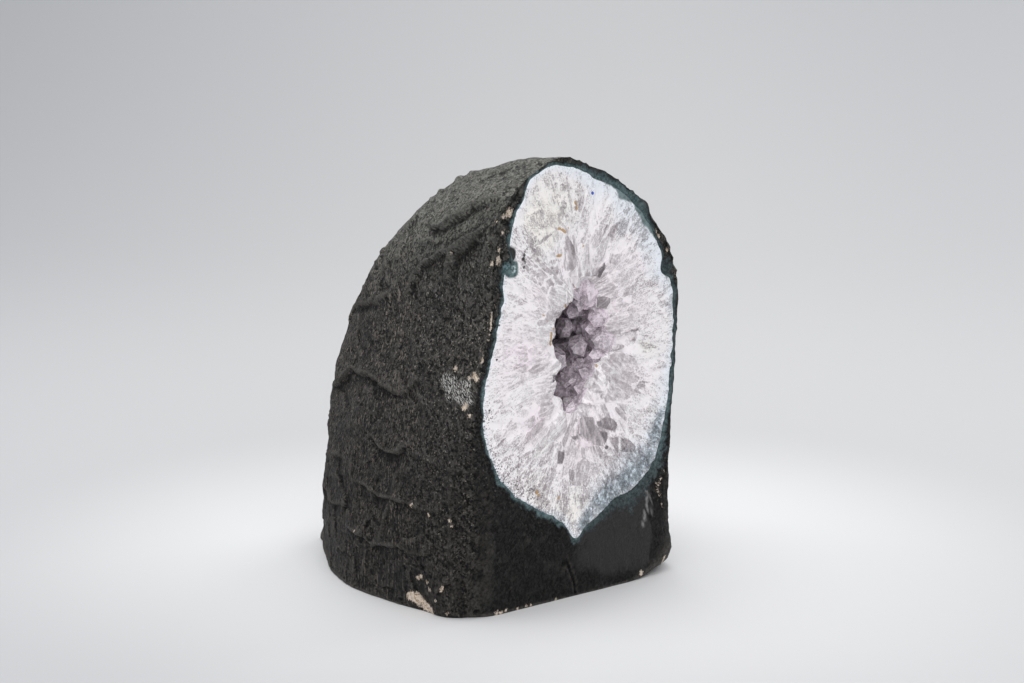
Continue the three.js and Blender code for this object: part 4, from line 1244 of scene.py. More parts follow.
def place_crystals():
    """Roots, aims, radii, lengths and two chances of the hollow's points: the shallow ones, and rings of
    generated ones that stand on the wall with a lean. A few are large and most are small."""
    collected = []
    for k, (level, count, size) in enumerate(POINT_RINGS):
        i = np.arange(count)
        mark = 300 + 50 * k + i
        turned = np.clip(level + 0.09 * (chance(mark) - 0.5), 0, 1) * np.pi / 2
        angle = (i + 0.5 * (k % 2) + 0.7 * chance(mark + 0.3)) / count * 2 * np.pi
        wall = mouth_radius(angle) * np.cos(turned) ** BOWL_FALL * bowl_swell(turned, HOLLOW_BELLY)
        root = face_points(angle, wall, MOUTH_CENTRE)
        root[:, 1] = 1.5 + HOLLOW_DEPTH * np.sin(turned)
        aim = np.array([MOUTH_CENTRE[0], HOLLOW_DEPTH * 0.3, MOUTH_CENTRE[1]]) - root
        aim = aim / np.linalg.norm(aim, axis=1, keepdims=True)
        lean = np.stack([chance(mark + 0.11), chance(mark + 0.37), chance(mark + 0.59)], axis=1) - 0.5
        aim = aim + 2.2 * lean
        radius = size * (0.55 + 1.1 * chance(mark + 0.71) ** 2.4)
        tall = radius * (0.8 + 0.9 * chance(mark + 0.9))
        drawn = np.stack([radius, tall, chance(mark + 0.2), chance(mark + 0.44)], axis=1)
        collected.append(np.concatenate([root, aim, drawn], axis=1))
    i = np.arange(len(SHALLOW_POINTS))
    collected.append(np.column_stack([SHALLOW_POINTS, chance(i + 0.13), chance(i + 0.52)]))
    return np.concatenate(collected)


def raised(flat, heights):
    """The same flat corners for every crystal, each at its own height."""
    spread = np.broadcast_to(flat, (len(heights),) + flat.shape)
    return np.concatenate([spread, np.broadcast_to(heights[:, :, None], spread.shape[:2] + (1,))], axis=2)


def point_crystals(table):
    """Six-sided quartz points. Three large faces meet at the tip, over every other side, and a small face
    cuts each edge between them off over the sides in between. The whole is then squeezed and leant over,
    which leaves every face flat. Each face is a fan round its own middle, with corners of its own, and
    carries the distance from its border and a chance."""
    first, other = table[:, 8, None], table[:, 9, None]
    six = np.arange(6)
    angle = six * np.pi / 3
    hexagon = np.stack([np.cos(angle), np.sin(angle)], axis=-1)
    shoulder = -1.0 - 0.35 * first
    tail = -(table[:, 7, None] / table[:, 6, None] + 1.1)
    high, low = raised(hexagon, shoulder), raised(hexagon, tail)
    apex = np.zeros((len(table), 3))
    cut = 0.14 + 0.30 * chance(np.arange(3)[None] * 2.3 + 9 * other)
    small = np.array([1, 3, 5])
    out = np.sqrt(3) * np.stack([np.cos(angle[small] + np.pi / 6), np.sin(angle[small] + np.pi / 6)], axis=-1)
    cut_point = raised(out, shoulder) * cut[..., None]
    following = np.roll(six, -1)
    walls = [
        np.stack([low[:, k], low[:, after], high[:, after], high[:, k]], axis=1)
        for k, after in zip(six, following)
    ]
    large = [
        np.stack([high[:, k], high[:, k + 1], cut_point[:, k // 2], apex, cut_point[:, k // 2 - 1]], axis=1)
        for k in (0, 2, 4)
    ]
    little = [np.stack([high[:, k], high[:, following[k]], cut_point[:, k // 2]], axis=1) for k in (1, 3, 5)]
    foot = [low[:, ::-1]]
    corners, border, chances = [], [], []
    for number, shape in enumerate(walls + large + little + foot):
        shape = stand_crystals(shape, table)
        middle = shape.mean(axis=1)
        pick = chance(number * 1.7 + 5 * first[:, 0] + 3.3 * other[:, 0])
        for k in range(shape.shape[1]):
            a, b = shape[:, k], shape[:, (k + 1) % shape.shape[1]]
            run = (b - a) / np.linalg.norm(b - a, axis=1, keepdims=True)
            away = np.linalg.norm(np.cross(middle - a, run), axis=1)
            corners.append(np.stack([a, b, middle], axis=1))
            border.append(np.stack([0 * away, 0 * away, away], axis=1))
            chances.append(np.repeat(pick[:, None], 3, axis=1))
    corners = np.concatenate(corners)
    faces = np.arange(len(corners) * 3).reshape(-1, 3)[:, [0, 1, 2, 2]]
    return corners.reshape(-1, 3), faces, np.concatenate(border).ravel(), np.concatenate(chances).ravel()


def stand_crystals(shape, table):
    """Carries faces of the plain crystal, whose tip is at 0 and whose radius is 1, to each crystal's own
    place: squeezed across, leant over and turned along its aim."""
    root, aim, radius, tall = table[:, :3], table[:, 3:6], table[:, 6, None], table[:, 7, None]
    first, other = table[:, 8, None], table[:, 9, None]
    aim = aim / np.linalg.norm(aim, axis=1, keepdims=True)
    side = np.cross(aim, np.where(np.abs(aim[:, 2:3]) < 0.9, [[0, 0, 1.0]], [[1.0, 0, 0]]))
    side = side / np.linalg.norm(side, axis=1, keepdims=True)
    across = np.cross(aim, side)
    turn = 2 * np.pi * first
    u = shape[..., 0] * (0.78 + 0.4 * other) + 0.3 * (chance(other * 5) - 0.5) * shape[..., 2]
    v = shape[..., 1] * (1.2 - 0.35 * first) + 0.3 * (chance(first * 7) - 0.5) * shape[..., 2]
    sideways = (u * np.cos(turn) - v * np.sin(turn)) * radius
    crosswise = (u * np.sin(turn) + v * np.cos(turn)) * radius
    up = tall + shape[..., 2] * radius
    level = root[:, None] + side[:, None] * sideways[..., None] + across[:, None] * crosswise[..., None]
    return level + aim[:, None] * up[..., None]


def amethyst_crust(points, fields):
    """The hollow's lining and its points, fused in one mesh."""
    base, faces, flat, slots = hollow_lining(points, fields)
    corners, sides, border, pick = point_crystals(place_crystals())
    corners[:, 1] = np.maximum(corners[:, 1], 0.3)
    joined = np.concatenate([base, corners])
    faces = np.concatenate([faces, sides + len(base)])
    slots = np.concatenate([slots, np.ones(len(sides), int)])
    zero = np.zeros(len(corners))
    added = {"level": pick, "border": border, "lines": corners, "from_rim": zero + 40, "rays": corners,
             "depth": corners[:, 1]}
    merged = {name: np.concatenate([values, added.get(name, zero)]) for name, values in flat.items()}
    return make_mesh("amethyst_crust", joined, faces, merged, [milky_quartz, dark_amethyst], slots)


def new_material(name):
    """A material with its sheet, its shader and the place on the object, in metres."""
    material = bpy.data.materials.new(name)
    material.use_nodes = True
    sheet = Sheet(material.node_tree)
    shader = material.node_tree.nodes["Principled BSDF"]
    return material, sheet, shader, sheet.add("ShaderNodeTexCoord")["Object"]


class Value:
    """A number, colour or vector of a node tree, which takes part in sums the way a plain number does."""

    def __init__(self, sheet, socket):
        self.sheet, self.socket = sheet, socket

    def __add__(self, other):
        return self.sheet.maths("ADD", self, other)

    def __sub__(self, other):
        return self.sheet.maths("SUBTRACT", self, other)

    def __rsub__(self, other):
        return self.sheet.maths("SUBTRACT", other, self)

    def __mul__(self, other):
        return self.sheet.maths("MULTIPLY", self, other)

    def __rtruediv__(self, other):
        return self.sheet.maths("DIVIDE", other, self)

    def clamped(self):
        """The same value, kept between 0 and 1."""
        self.socket.node.use_clamp = True
        return self


class Box:
    """A node whose outputs are picked by name or number."""

    def __init__(self, sheet, node):
        self.sheet, self.node = sheet, node

    def __getitem__(self, key):
        return Value(self.sheet, self.node.outputs[key])


class Sheet:
    """Short names for adding nodes to one node tree and joining them."""

    def __init__(self, tree):
        self.nodes, self.links = tree.nodes, tree.links

    def add(self, kind, sockets=(), **settings):
        """A node with its settings. sockets fills its inputs in order, or by name or number if it is a
        dict."""
        node = self.nodes.new(kind)
        for name, value in settings.items():
            setattr(node, name, value)
        filled = sockets if isinstance(sockets, dict) else dict(enumerate(sockets))
        for key, value in filled.items():
            self.set(node.inputs[key], value)
        return Box(self, node)

    def set(self, socket, value):
        """Joins a value to a socket, or sets the socket to a constant."""
        if isinstance(value, Value):
            self.links.new(value.socket, socket)
        else:
            socket.default_value = value

    def place(self, group, *inputs):
        return self.add("ShaderNodeGroup", inputs, node_tree=group)

    def field(self, name, kind="Fac"):
        """What make_mesh stored on the surface under this name."""
        return self.add("ShaderNodeAttribute", attribute_name=name)[kind]

    def maths(self, operation, a, b=0.0):
        return self.add("ShaderNodeMath", (a, b), operation=operation)[0]

    def most(self, a, b):
        return self.maths("MAXIMUM", a, b)

    def least(self, a, b):
        return self.maths("MINIMUM", a, b)

    def centred(self, value, share, gate=1.0):
        """value about its middle of 0.5, times a share and a gate."""
        return (value - 0.5) * share * gate

    def step(self, value, low, high, to_low=0.0, to_high=1.0):
        """value carried from low..high to to_low..to_high, smoothly and kept inside."""
        ends = (value, low, high, to_low, to_high)
        return self.add("ShaderNodeMapRange", ends, interpolation_type="SMOOTHSTEP")[0]

    def mix(self, share, a, b, kind="MIX"):
        """Colours a and b mixed by a share of b."""
        return self.add("ShaderNodeMix", {0: share, 6: a, 7: b}, data_type="RGBA", blend_type=kind)[2]

    def between(self, share, a, b):
        """Numbers a and b mixed by a share of b."""
        return self.add("ShaderNodeMix", {0: share, 2: a, 3: b}, data_type="FLOAT")[0]

    def vectors(self, operation, a, b):
        return self.add("ShaderNodeVectorMath", (a, b), operation=operation)

    def noise(self, vector, scale, detail=3.0, roughness=0.55):
        inputs = {"Vector": vector, "Scale": scale, "Detail": detail, "Roughness": roughness}
        return self.add("ShaderNodeTexNoise", inputs, noise_dimensions="3D")[0]

    def warped(self, vector, scale, reach):
        """A vector pushed about by up to reach, in its own units, by noise of this scale."""
        push = self.add("ShaderNodeTexNoise", {"Vector": vector, "Scale": scale}, noise_dimensions="3D")
        centred = self.vectors("SUBTRACT", push["Color"], (0.5, 0.5, 0.5))[0]
        wide = {0: centred, "Scale": self.maths("MULTIPLY", reach, 2.0)}
        scaled = self.add("ShaderNodeVectorMath", wide, operation="SCALE")[0]
        return self.vectors("ADD", vector, scaled)[0]

    def cells(self, vector, scale, feature="F1"):
        """Cells round scattered points, all of them off their grid."""
        inputs = {"Vector": vector, "Scale": scale, "Randomness": 1.0}
        return self.add("ShaderNodeTexVoronoi", inputs, feature=feature)

    def picked(self, cells, channel=0):
        """The chance of each cell."""
        return self.add("ShaderNodeSeparateColor", (cells["Color"],))[channel]

    def stretched(self, vector, scale, turn=(0.0, 0.0, 0.0)):
        """The vector turned and then scaled along its axes."""
        return self.add("ShaderNodeMapping", {"Vector": vector, "Scale": scale, "Rotation": turn})[0]

    def bump(self, shader, height, strength, distance):
        """Raises the shader's surface by the height, up to a distance in metres."""
        inputs = {"Strength": strength, "Distance": distance, "Height": height}
        self.set(shader.inputs["Normal"], self.add("ShaderNodeBump", inputs)[0])


def new_group(name, takes, gives):
    """An empty shader node group with its sheet, the values that it takes, and the node for those that it
    gives."""
    group = bpy.data.node_groups.new(name, "ShaderNodeTree")
    for titles, way in ((takes, "INPUT"), (gives, "OUTPUT")):
        for title in titles:
            kind = title if title in ("Vector", "Color") else "Float"
            group.interface.new_socket(title, in_out=way, socket_type="NodeSocket" + kind)
    sheet = Sheet(group)
    inward = sheet.add("NodeGroupInput")
    return group, sheet, [inward[k] for k in range(len(takes))], group.nodes.new("NodeGroupOutput")


def grain_group():
    """Grains of stone: a height, small pale specks on some grains and dark pits in others. The cells are
    looked up a little off their place, so that they aren't round."""
    takes = ("Vector", "Grains per metre", "Speck share", "Pit share")
    gives = ("Height", "Specks", "Pits", "Tone")
    group, sheet, (vector, scale, share, pit_share), outward = new_group("fine grain", takes, gives)
    moved = sheet.warped(vector, scale * 1.3, 0.7 / scale)
    cells = sheet.cells(moved, scale)
    fine = sheet.noise(vector, scale * 0.45, 4.0, 0.6)
    lump = 1.0 - cells["Distance"]
    small = sheet.step(cells["Distance"], 0.25, 0.5, 1.0, 0.0)
    specks = sheet.maths("LESS_THAN", sheet.picked(cells, 0), share) * small
    pits = sheet.maths("LESS_THAN", sheet.picked(cells, 1), pit_share) * small
    height = lump * 0.5 + fine * 0.8
    height = height - pits * 0.8
    for title, value in zip(gives, (height, specks, pits, sheet.picked(cells, 2))):
        sheet.set(outward.inputs[title], value)
    return group


def broken_group():
    """Breaks a soft patch up into ragged chips: the patch plus a strong fine noise, cut off at a level."""
    takes = ("Vector", "Patch", "Pieces per metre", "Level")
    group, sheet, (vector, patch, scale, level), outward = new_group("broken patch", takes, ("Share",))
    ragged = sheet.noise(vector, scale, 6.0, 0.75)
    spread = (ragged - 0.5) * 2.6
    total = patch - level + spread
    worn = sheet.step(total * sheet.step(patch, 0.02, 0.2), 0.0, 0.12)
    sheet.set(outward.inputs["Share"], worn)
    return group


def tinted_group():
    """Turns a paleness, as it would look on a screen, into a colour between cream (tint -1), plain and lilac
    (tint 1), with a share of pale blue."""
    takes = ("Level", "Tint", "Blue")
    group, sheet, (level, tint, blue), outward = new_group("tinted mineral", takes, ("Color",))
    light = sheet.maths("POWER", sheet.least(sheet.most(level, 0.03), 0.985), 2.2)
    colour = sheet.mix(sheet.step(tint, 0.0, 1.0), (1.0, 0.96, 0.973, 1), (1.0, 0.893, 0.942, 1))
    colour = sheet.mix(sheet.step(tint, 0.0, -1.0), colour, (1.0, 0.965, 0.91, 1))
    colour = sheet.mix(sheet.step(level, 0.88, 0.6), colour, (1.0, 0.885, 0.925, 1))
    colour = sheet.mix(blue, colour, (0.8, 0.91, 1.0, 1))
    sheet.set(outward.inputs["Color"], sheet.mix(1.0, colour, light, "MULTIPLY"))
    return group


def make_rind_paint():
    """Charcoal paint on rock: brushed along the flank, gritty near the sawn face, chipped to light rock at
    the edges, with the blue-green band beside the quartz. Light and shade are painted in as well: the paint
    is paler towards the crown and darker towards the foot, the crests and lips are pale as partly worn paint
    and partly painted highlight, and the creases hold painted shade."""
    material, sheet, shader, spot = new_material("charcoal rind")
    names = "rim vivid gritty sawn lip raised crest crown bare scuffed polished vein brushed"
    field = {name: sheet.field(name) for name in names.split()}
    grain = sheet.place(fine_grain, spot, 1500.0, 0.26, 0.3)
    coarse = sheet.place(fine_grain, spot, 900.0, 0.12, 0.26)
    streaks = sheet.noise(sheet.stretched(spot, (1500.0, 1500.0, 110.0), (0.12, 0.0, 0.0)), 1.0, 4.0, 0.62)
    clouds = sheet.noise(spot, 55.0, 4.0, 0.6)
    patches = sheet.noise(spot, 330.0, 5.0, 0.7)
    fine = sheet.noise(spot, 1000.0, 4.0, 0.7)
    paint = sheet.mix(sheet.step(clouds, 0.35, 0.68), (0.017, 0.0165, 0.0156, 1), (0.037, 0.0338, 0.0305, 1))
    # Painted light: paler paint towards the crown, standing in for light from above on the top of the stone
    paint = sheet.mix(field["crown"], paint, (0.084, 0.084, 0.075, 1))
    streaked = field["brushed"] * sheet.step(streaks, 0.52, 0.64, 0.0, 0.9)
    paint = sheet.mix(streaked, paint, (0.095, 0.082, 0.07, 1))
    unstreaked = field["brushed"] * sheet.step(streaks, 0.47, 0.38, 0.0, 0.85)
    paint = sheet.mix(unstreaked, paint, (0.005, 0.005, 0.005, 1))
    mottled = sheet.step(patches, 0.47, 0.35, 0.0, 0.6)
    # Dark mottling, made lighter at the crown as painted light from above
    shade = sheet.mix(field["crown"], (0.007, 0.007, 0.007, 1), (0.04, 0.04, 0.036, 1))
    paint = sheet.mix(mottled, paint, shade)
    darkened = field["gritty"] * sheet.step(patches, 0.35, 0.55, 0.9, 0.55)
    paint = sheet.mix(darkened, paint, (0.0095, 0.0091, 0.0086, 1))
    paint = sheet.mix(field["sawn"] * 0.85, paint, (0.0052, 0.005, 0.0049, 1))
    speckled = sheet.most(grain["Specks"], coarse["Specks"])
    speckled = speckled * sheet.step(field["gritty"], 0.3, 0.95, 0.04, 0.85)
    speckled = speckled * sheet.step(fine, 0.42, 0.58, 0.15, 1.0)
    speckled = speckled * sheet.step(field["sawn"], 0.2, 1.0, 1.0, 0.4)
    paint = sheet.mix(speckled * 0.6, paint, (0.15, 0.137, 0.117, 1))
    pitted = sheet.most(grain["Pits"], coarse["Pits"])
    pitted = pitted * sheet.step(field["gritty"], 0.0, 0.8, 0.4, 0.95)
    pitted = pitted * sheet.step(field["crown"], 0.0, 1.0, 1.0, 0.5)
    paint = sheet.mix(pitted, paint, (0.0022, 0.0022, 0.0022, 1))
    brightest = sheet.step(field["gritty"], 0.0, 1.0, 2.2, 3.6)
    brightest = sheet.step(field["crown"], 0.0, 1.0, brightest, 1.8)
    darkest = sheet.step(field["crown"], 0.0, 1.0, 0.12, 0.27)
    sandy = sheet.step(grain["Tone"], 0.1, 0.9, darkest, brightest)
    paint = sheet.mix(1.0, paint, sandy, "MULTIPLY")
    # Painted light and shade: the paint is darker towards the foot and paler upwards, standing in for light
    # from above
    high = sheet.add("ShaderNodeSeparateXYZ", (spot,))[2]
    paint = sheet.mix(1.0, paint, sheet.step(high, 0.015, 0.11, 0.77, 1.74), "MULTIPLY")
    # Paler crests and ledge lips: partly worn paint, partly painted highlight where light from above catches
    # them, paler still at the crown
    worn = (field["raised"] * 0.9).clamped() * sheet.step(fine, 0.35, 0.6, 0.3, 1.0)
    worn = sheet.most(worn, field["lip"] * sheet.step(patches, 0.3, 0.6, 0.35, 0.85))
    crest = sheet.mix(field["crown"], (0.105, 0.098, 0.088, 1), (0.13, 0.13, 0.118, 1))
    paint = sheet.mix(worn, paint, crest)
    # Painted shade: darker paint in the creases and under the ridges
    painted_crease_shade = (field["raised"] * -0.7).clamped()
    painted_crease_shade = sheet.most(painted_crease_shade, (field["crest"] * -0.5).clamped())
    paint = sheet.mix(painted_crease_shade, paint, (0.004, 0.004, 0.004, 1))
    paint = sheet.mix((field["polished"] * 0.9).clamped(), paint, (0.026, 0.0255, 0.026, 1))
    slanted = sheet.stretched(spot, (1.0, 1.0, 1.0), (0.75, 0.0, 0.0))
    strokes = sheet.noise(sheet.stretched(slanted, (900.0, 2400.0, 700.0)), 1.0, 3.0, 0.65)
    scuffed = sheet.step(field["scuffed"], 0.12, 0.65) * sheet.step(strokes, 0.5, 0.56)
    paint = sheet.mix(scuffed * 0.9, paint, (0.66, 0.65, 0.62, 1))
    chipped = sheet.place(broken_patch, spot, field["bare"], 1250.0, 0.54)
    stone = sheet.mix(sheet.step(fine, 0.36, 0.52), (0.4, 0.29, 0.18, 1), (0.86, 0.73, 0.61, 1))
    paint = sheet.mix(chipped[0], paint, stone)
    veined = field["vein"] * sheet.step(fine, 0.3, 0.55, 0.5, 1.0)
    paint = sheet.mix(veined, paint, (0.22, 0.215, 0.215, 1))
    ragged = (sheet.noise(spot, 480.0, 5.0, 0.72) - 0.5) * 2.6
    uneven = field["rim"] + ragged
    banded = sheet.step(uneven, -0.05, 0.3)
    fleck = sheet.step(fine, 0.36, 0.64)
    slate = sheet.mix(fleck, (0.018, 0.027, 0.029, 1), (0.06, 0.078, 0.08, 1))
    bright = sheet.mix(fleck, (0.04, 0.08, 0.088, 1), (0.16, 0.235, 0.245, 1))
    lively = (sheet.step(uneven, 0.0, 0.9) * field["vivid"]).clamped()
    teal = sheet.mix(lively, slate, bright)
    sheet.set(shader.inputs["Base Color"], sheet.mix(banded, paint, teal))
    even = sheet.most(banded * 0.8, field["polished"] * 0.85)
    dull = sheet.between(even, sheet.step(clouds, 0.3, 0.7, 0.55, 0.72), 0.38)
    sheet.set(shader.inputs["Roughness"], dull)
    sheet.set(shader.inputs["Specular IOR Level"], 0.17)
    lift = grain["Height"] * sheet.step(field["gritty"], 0.0, 1.0, 1.0, 2.0)
    lift = lift + coarse["Height"] * sheet.step(field["gritty"], 0.0, 1.0, 1.0, 2.2)
    lift = lift + streaks * field["brushed"] * 2.4
    lift = lift + patches * 2.4
    lift = lift * sheet.step(even, 0.0, 1.0, 1.0, 0.3)
    lift = lift - chipped[0] * 0.5
    sheet.bump(shader, lift, 1.0, 0.0006)
    return material


def make_milky_quartz():
    """Sawn milky quartz: each crystal's own paleness and tint, crossed by crisp pale fibres along it or,
    outside, along lines that run out from the hollow, with a sugary rim, thin white borders, and the grains,
    rust, blue and blue-green that have grown in."""
    material, sheet, shader, spot = new_material("milky quartz")
    lines = sheet.field("lines", "Vector")
    rays = sheet.field("rays", "Vector")
    names = "level tint thread border from_rim sugar blue slate pepper stain dark azure blob notch glint"
    field = {name: sheet.field(name) for name in names.split()}
    grain = sheet.place(fine_grain, spot, 1400.0, 0.25, 0.3)
    cloudy = sheet.noise(spot, 210.0, 4.0, 0.62)
    veils = sheet.noise(spot, 700.0, 4.0, 0.66)
    along_crystal = sheet.warped(lines, 1.1, 0.5)
    along_rays = sheet.warped(rays, 0.8, 0.7)
    own_fibres = sheet.noise(sheet.stretched(along_crystal, (2.2, 2.2, 1.0)), 1.0, 3.0, 0.6)
    ray_fibres = sheet.noise(sheet.stretched(along_rays, (1.7, 1.7, 0.42)), 1.0, 3.0, 0.6)
    splinters = sheet.cells(along_crystal, 0.7)
    splinter_edges = sheet.cells(along_crystal, 0.7, "DISTANCE_TO_EDGE")
    long_place = sheet.stretched(along_rays, (0.52, 0.52, 0.2))
    long_rays = sheet.cells(long_place, 1.0)
    long_edges = sheet.cells(long_place, 1.0, "DISTANCE_TO_EDGE")
    needle_place = sheet.stretched(along_rays, (1.15, 1.15, 0.42))
    needles = sheet.cells(needle_place, 1.0)
    needle_edges = sheet.cells(needle_place, 1.0, "DISTANCE_TO_EDGE")
    sugar = sheet.step(sheet.noise(spot, 1700.0, 2.0, 0.85), 0.36, 0.64)
    outer = sheet.step(field["from_rim"], 26.0, 12.0)
    inner = 1.0 - outer
    rim = sheet.step(field["from_rim"], 9.0, 1.5)
    fibres = sheet.between(outer, own_fibres, ray_fibres)
    broken = sheet.step(cloudy, 0.32, 0.58, 0.3, 1.0)
    strength = sheet.step(field["from_rim"], 30.0, 8.0, 0.055, 0.1)
    parts = [
        sheet.centred(sheet.picked(splinters), 0.1, inner),
        sheet.centred(sheet.picked(long_rays), 0.08, outer),
        sheet.centred(sheet.picked(needles), 0.12, sheet.step(outer, 0.0, 1.0, 0.35, 1.0)),
        sheet.centred(sugar, 0.17, field["sugar"]),
        sheet.centred(grain["Tone"], 0.09),
        sheet.centred(sheet.step(cloudy, 0.3, 0.7), 0.03),
        sheet.centred(sheet.step(veils, 0.3, 0.7), 0.05),
        sheet.step(fibres, 0.56, 0.585) * (broken * strength),
        sheet.step(fibres, 0.44, 0.39) * (strength * -0.65),
        sheet.centred(sheet.step(grain["Height"], 0.55, 1.05), 0.13, rim),
        field["thread"] * sheet.step(veils, 0.35, 0.55, 0.08, 0.2),
        rim * 0.06,
    ]
    cracked = sheet.step(long_edges["Distance"], 0.13, 0.06) * outer
    split = sheet.step(splinter_edges["Distance"], 0.15, 0.07) * inner
    cracked = sheet.most(cracked, split) * broken
    parts.append(cracked * 0.13)
    sliver = sheet.step(needle_edges["Distance"], 0.1, 0.05) * outer
    parts.append(sliver * 0.09)
    edge = field["border"] + (veils - 0.5) * 0.5
    edge = sheet.step(edge, 0.34, 0.12) * sheet.step(cloudy, 0.36, 0.48, 0.3, 1.0)
    parts.append(edge * 0.22)
    level = field["level"]
    for part in parts:
        level = level + part
    slated = field["slate"] * sheet.step(veils, 0.62, 0.42, 0.55, 1.0)
    slated = slated * sheet.step(grain["Height"], 1.0, 0.6, 0.55, 1.0)
    level = level * sheet.step(slated, 0.0, 1.0, 1.0, 0.58)
    peppered = field["pepper"] * sheet.most(grain["Specks"], grain["Pits"])
    level = level * sheet.step(peppered, 0.0, 1.0, 1.0, 0.3)
    blue = sheet.most(field["blue"] * 0.6, field["slate"])
    coloured = sheet.place(tinted_mineral, level, field["tint"], blue)
    colour = coloured[0]
    stained = sheet.place(broken_patch, spot, field["stain"], 900.0, 0.62)
    colour = sheet.mix(stained[0] * 0.85, colour, (0.42, 0.24, 0.07, 1))
    gritted = sheet.place(broken_patch, spot, field["dark"], 1100.0, 0.52)
    colour = sheet.mix(gritted[0], colour, (0.03, 0.025, 0.025, 1))
    colour = sheet.mix(sheet.step(field["azure"], 0.35, 0.6), colour, (0.03, 0.09, 0.5, 1))
    fringe = field["from_rim"] + (sheet.noise(spot, 480.0, 5.0, 0.72) - 0.42) * 4.0
    bluish = sheet.most(field["blob"], sheet.step(fringe, 0.5, 0.0) * 0.85)
    teal = sheet.mix(sheet.step(veils, 0.35, 0.62), (0.028, 0.06, 0.064, 1), (0.115, 0.185, 0.185, 1))
    colour = sheet.mix(bluish, colour, teal)
    colour = sheet.mix(field["notch"], colour, (0.012, 0.0125, 0.0125, 1))
    colour = sheet.mix(field["glint"] * sheet.step(veils, 0.4, 0.52), colour, (0.55, 0.66, 0.68, 1))
    sheet.set(shader.inputs["Base Color"], colour)
    sheet.set(shader.inputs["Roughness"], sheet.step(cloudy, 0.3, 0.7, 0.22, 0.45))
    sheet.set(shader.inputs["IOR"], 1.544)
    lift = fibres * 0.8 + grain["Height"] * 0.5
    lift = lift + sheet.picked(splinters) * 0.5
    sheet.bump(shader, lift, 0.4, 0.0003)
    return material


def make_dark_amethyst():
    """Pale to smoky violet crystal, mottled inside, clear enough to take light in, and paler towards the top
    of the hollow. Painted shade darkens it deep in the hollow and on its left, under the overhanging rim, and
    a painted highlight runs along the crystals' edges."""
    material, sheet, shader, spot = new_material("smoky amethyst")
    depth = sheet.field("depth")
    pick = sheet.field("level")
    border = sheet.field("border")
    mottle = sheet.noise(spot, 620.0, 5.0, 0.68)
    clouds = sheet.noise(spot, 210.0, 3.0, 0.6)
    fine = sheet.noise(spot, 1500.0, 3.0, 0.6)
    facets = sheet.cells(sheet.warped(sheet.stretched(spot, (380.0, 380.0, 380.0)), 1.5, 0.5), 1.0)
    # Painted shade: darker deeper in the hollow
    level = sheet.step(depth, 1.0, 12.0, 0.83, 0.765)
    level = level + sheet.centred(pick, 0.26)
    level = level + sheet.centred(sheet.step(mottle, 0.36, 0.64), 0.22)
    level = level + sheet.centred(sheet.step(clouds, 0.3, 0.7), 0.1)
    level = level + sheet.centred(sheet.picked(facets), 0.14)
    level = level + sheet.centred(pick, 0.2, sheet.step(depth, 2.0, 6.0, 1.0, 0.0))
    split = sheet.add("ShaderNodeSeparateXYZ", (spot,))
    # Painted shade: darker on the left, under the overhanging rim
    level = level + sheet.step(split[0], -0.012, 0.008, -0.055, 0.04)
    level = level + sheet.step(split[2], 0.084, 0.112, -0.04, 0.03)
    # Painted highlight along the crystals' edges
    lit = sheet.step(border, 0.24, 0.08) * sheet.step(clouds, 0.42, 0.52, 0.0, 0.26)
    level = level + lit
    coloured = sheet.place(tinted_mineral, level, sheet.step(clouds, 0.3, 0.7, 0.5, 1.0), 0.0)
    colour = sheet.mix(0.35, coloured[0], (0.95, 0.88, 1.0, 1), "MULTIPLY")
    sheet.set(shader.inputs["Base Color"], colour)
    sheet.set(shader.inputs["Roughness"], sheet.step(mottle, 0.3, 0.7, 0.14, 0.36))
    sheet.set(shader.inputs["IOR"], 1.544)
    sheet.set(shader.inputs["Transmission Weight"], 0.2)
    sheet.bump(shader, mottle + fine * 0.4, 0.35, 0.0005)
    return material


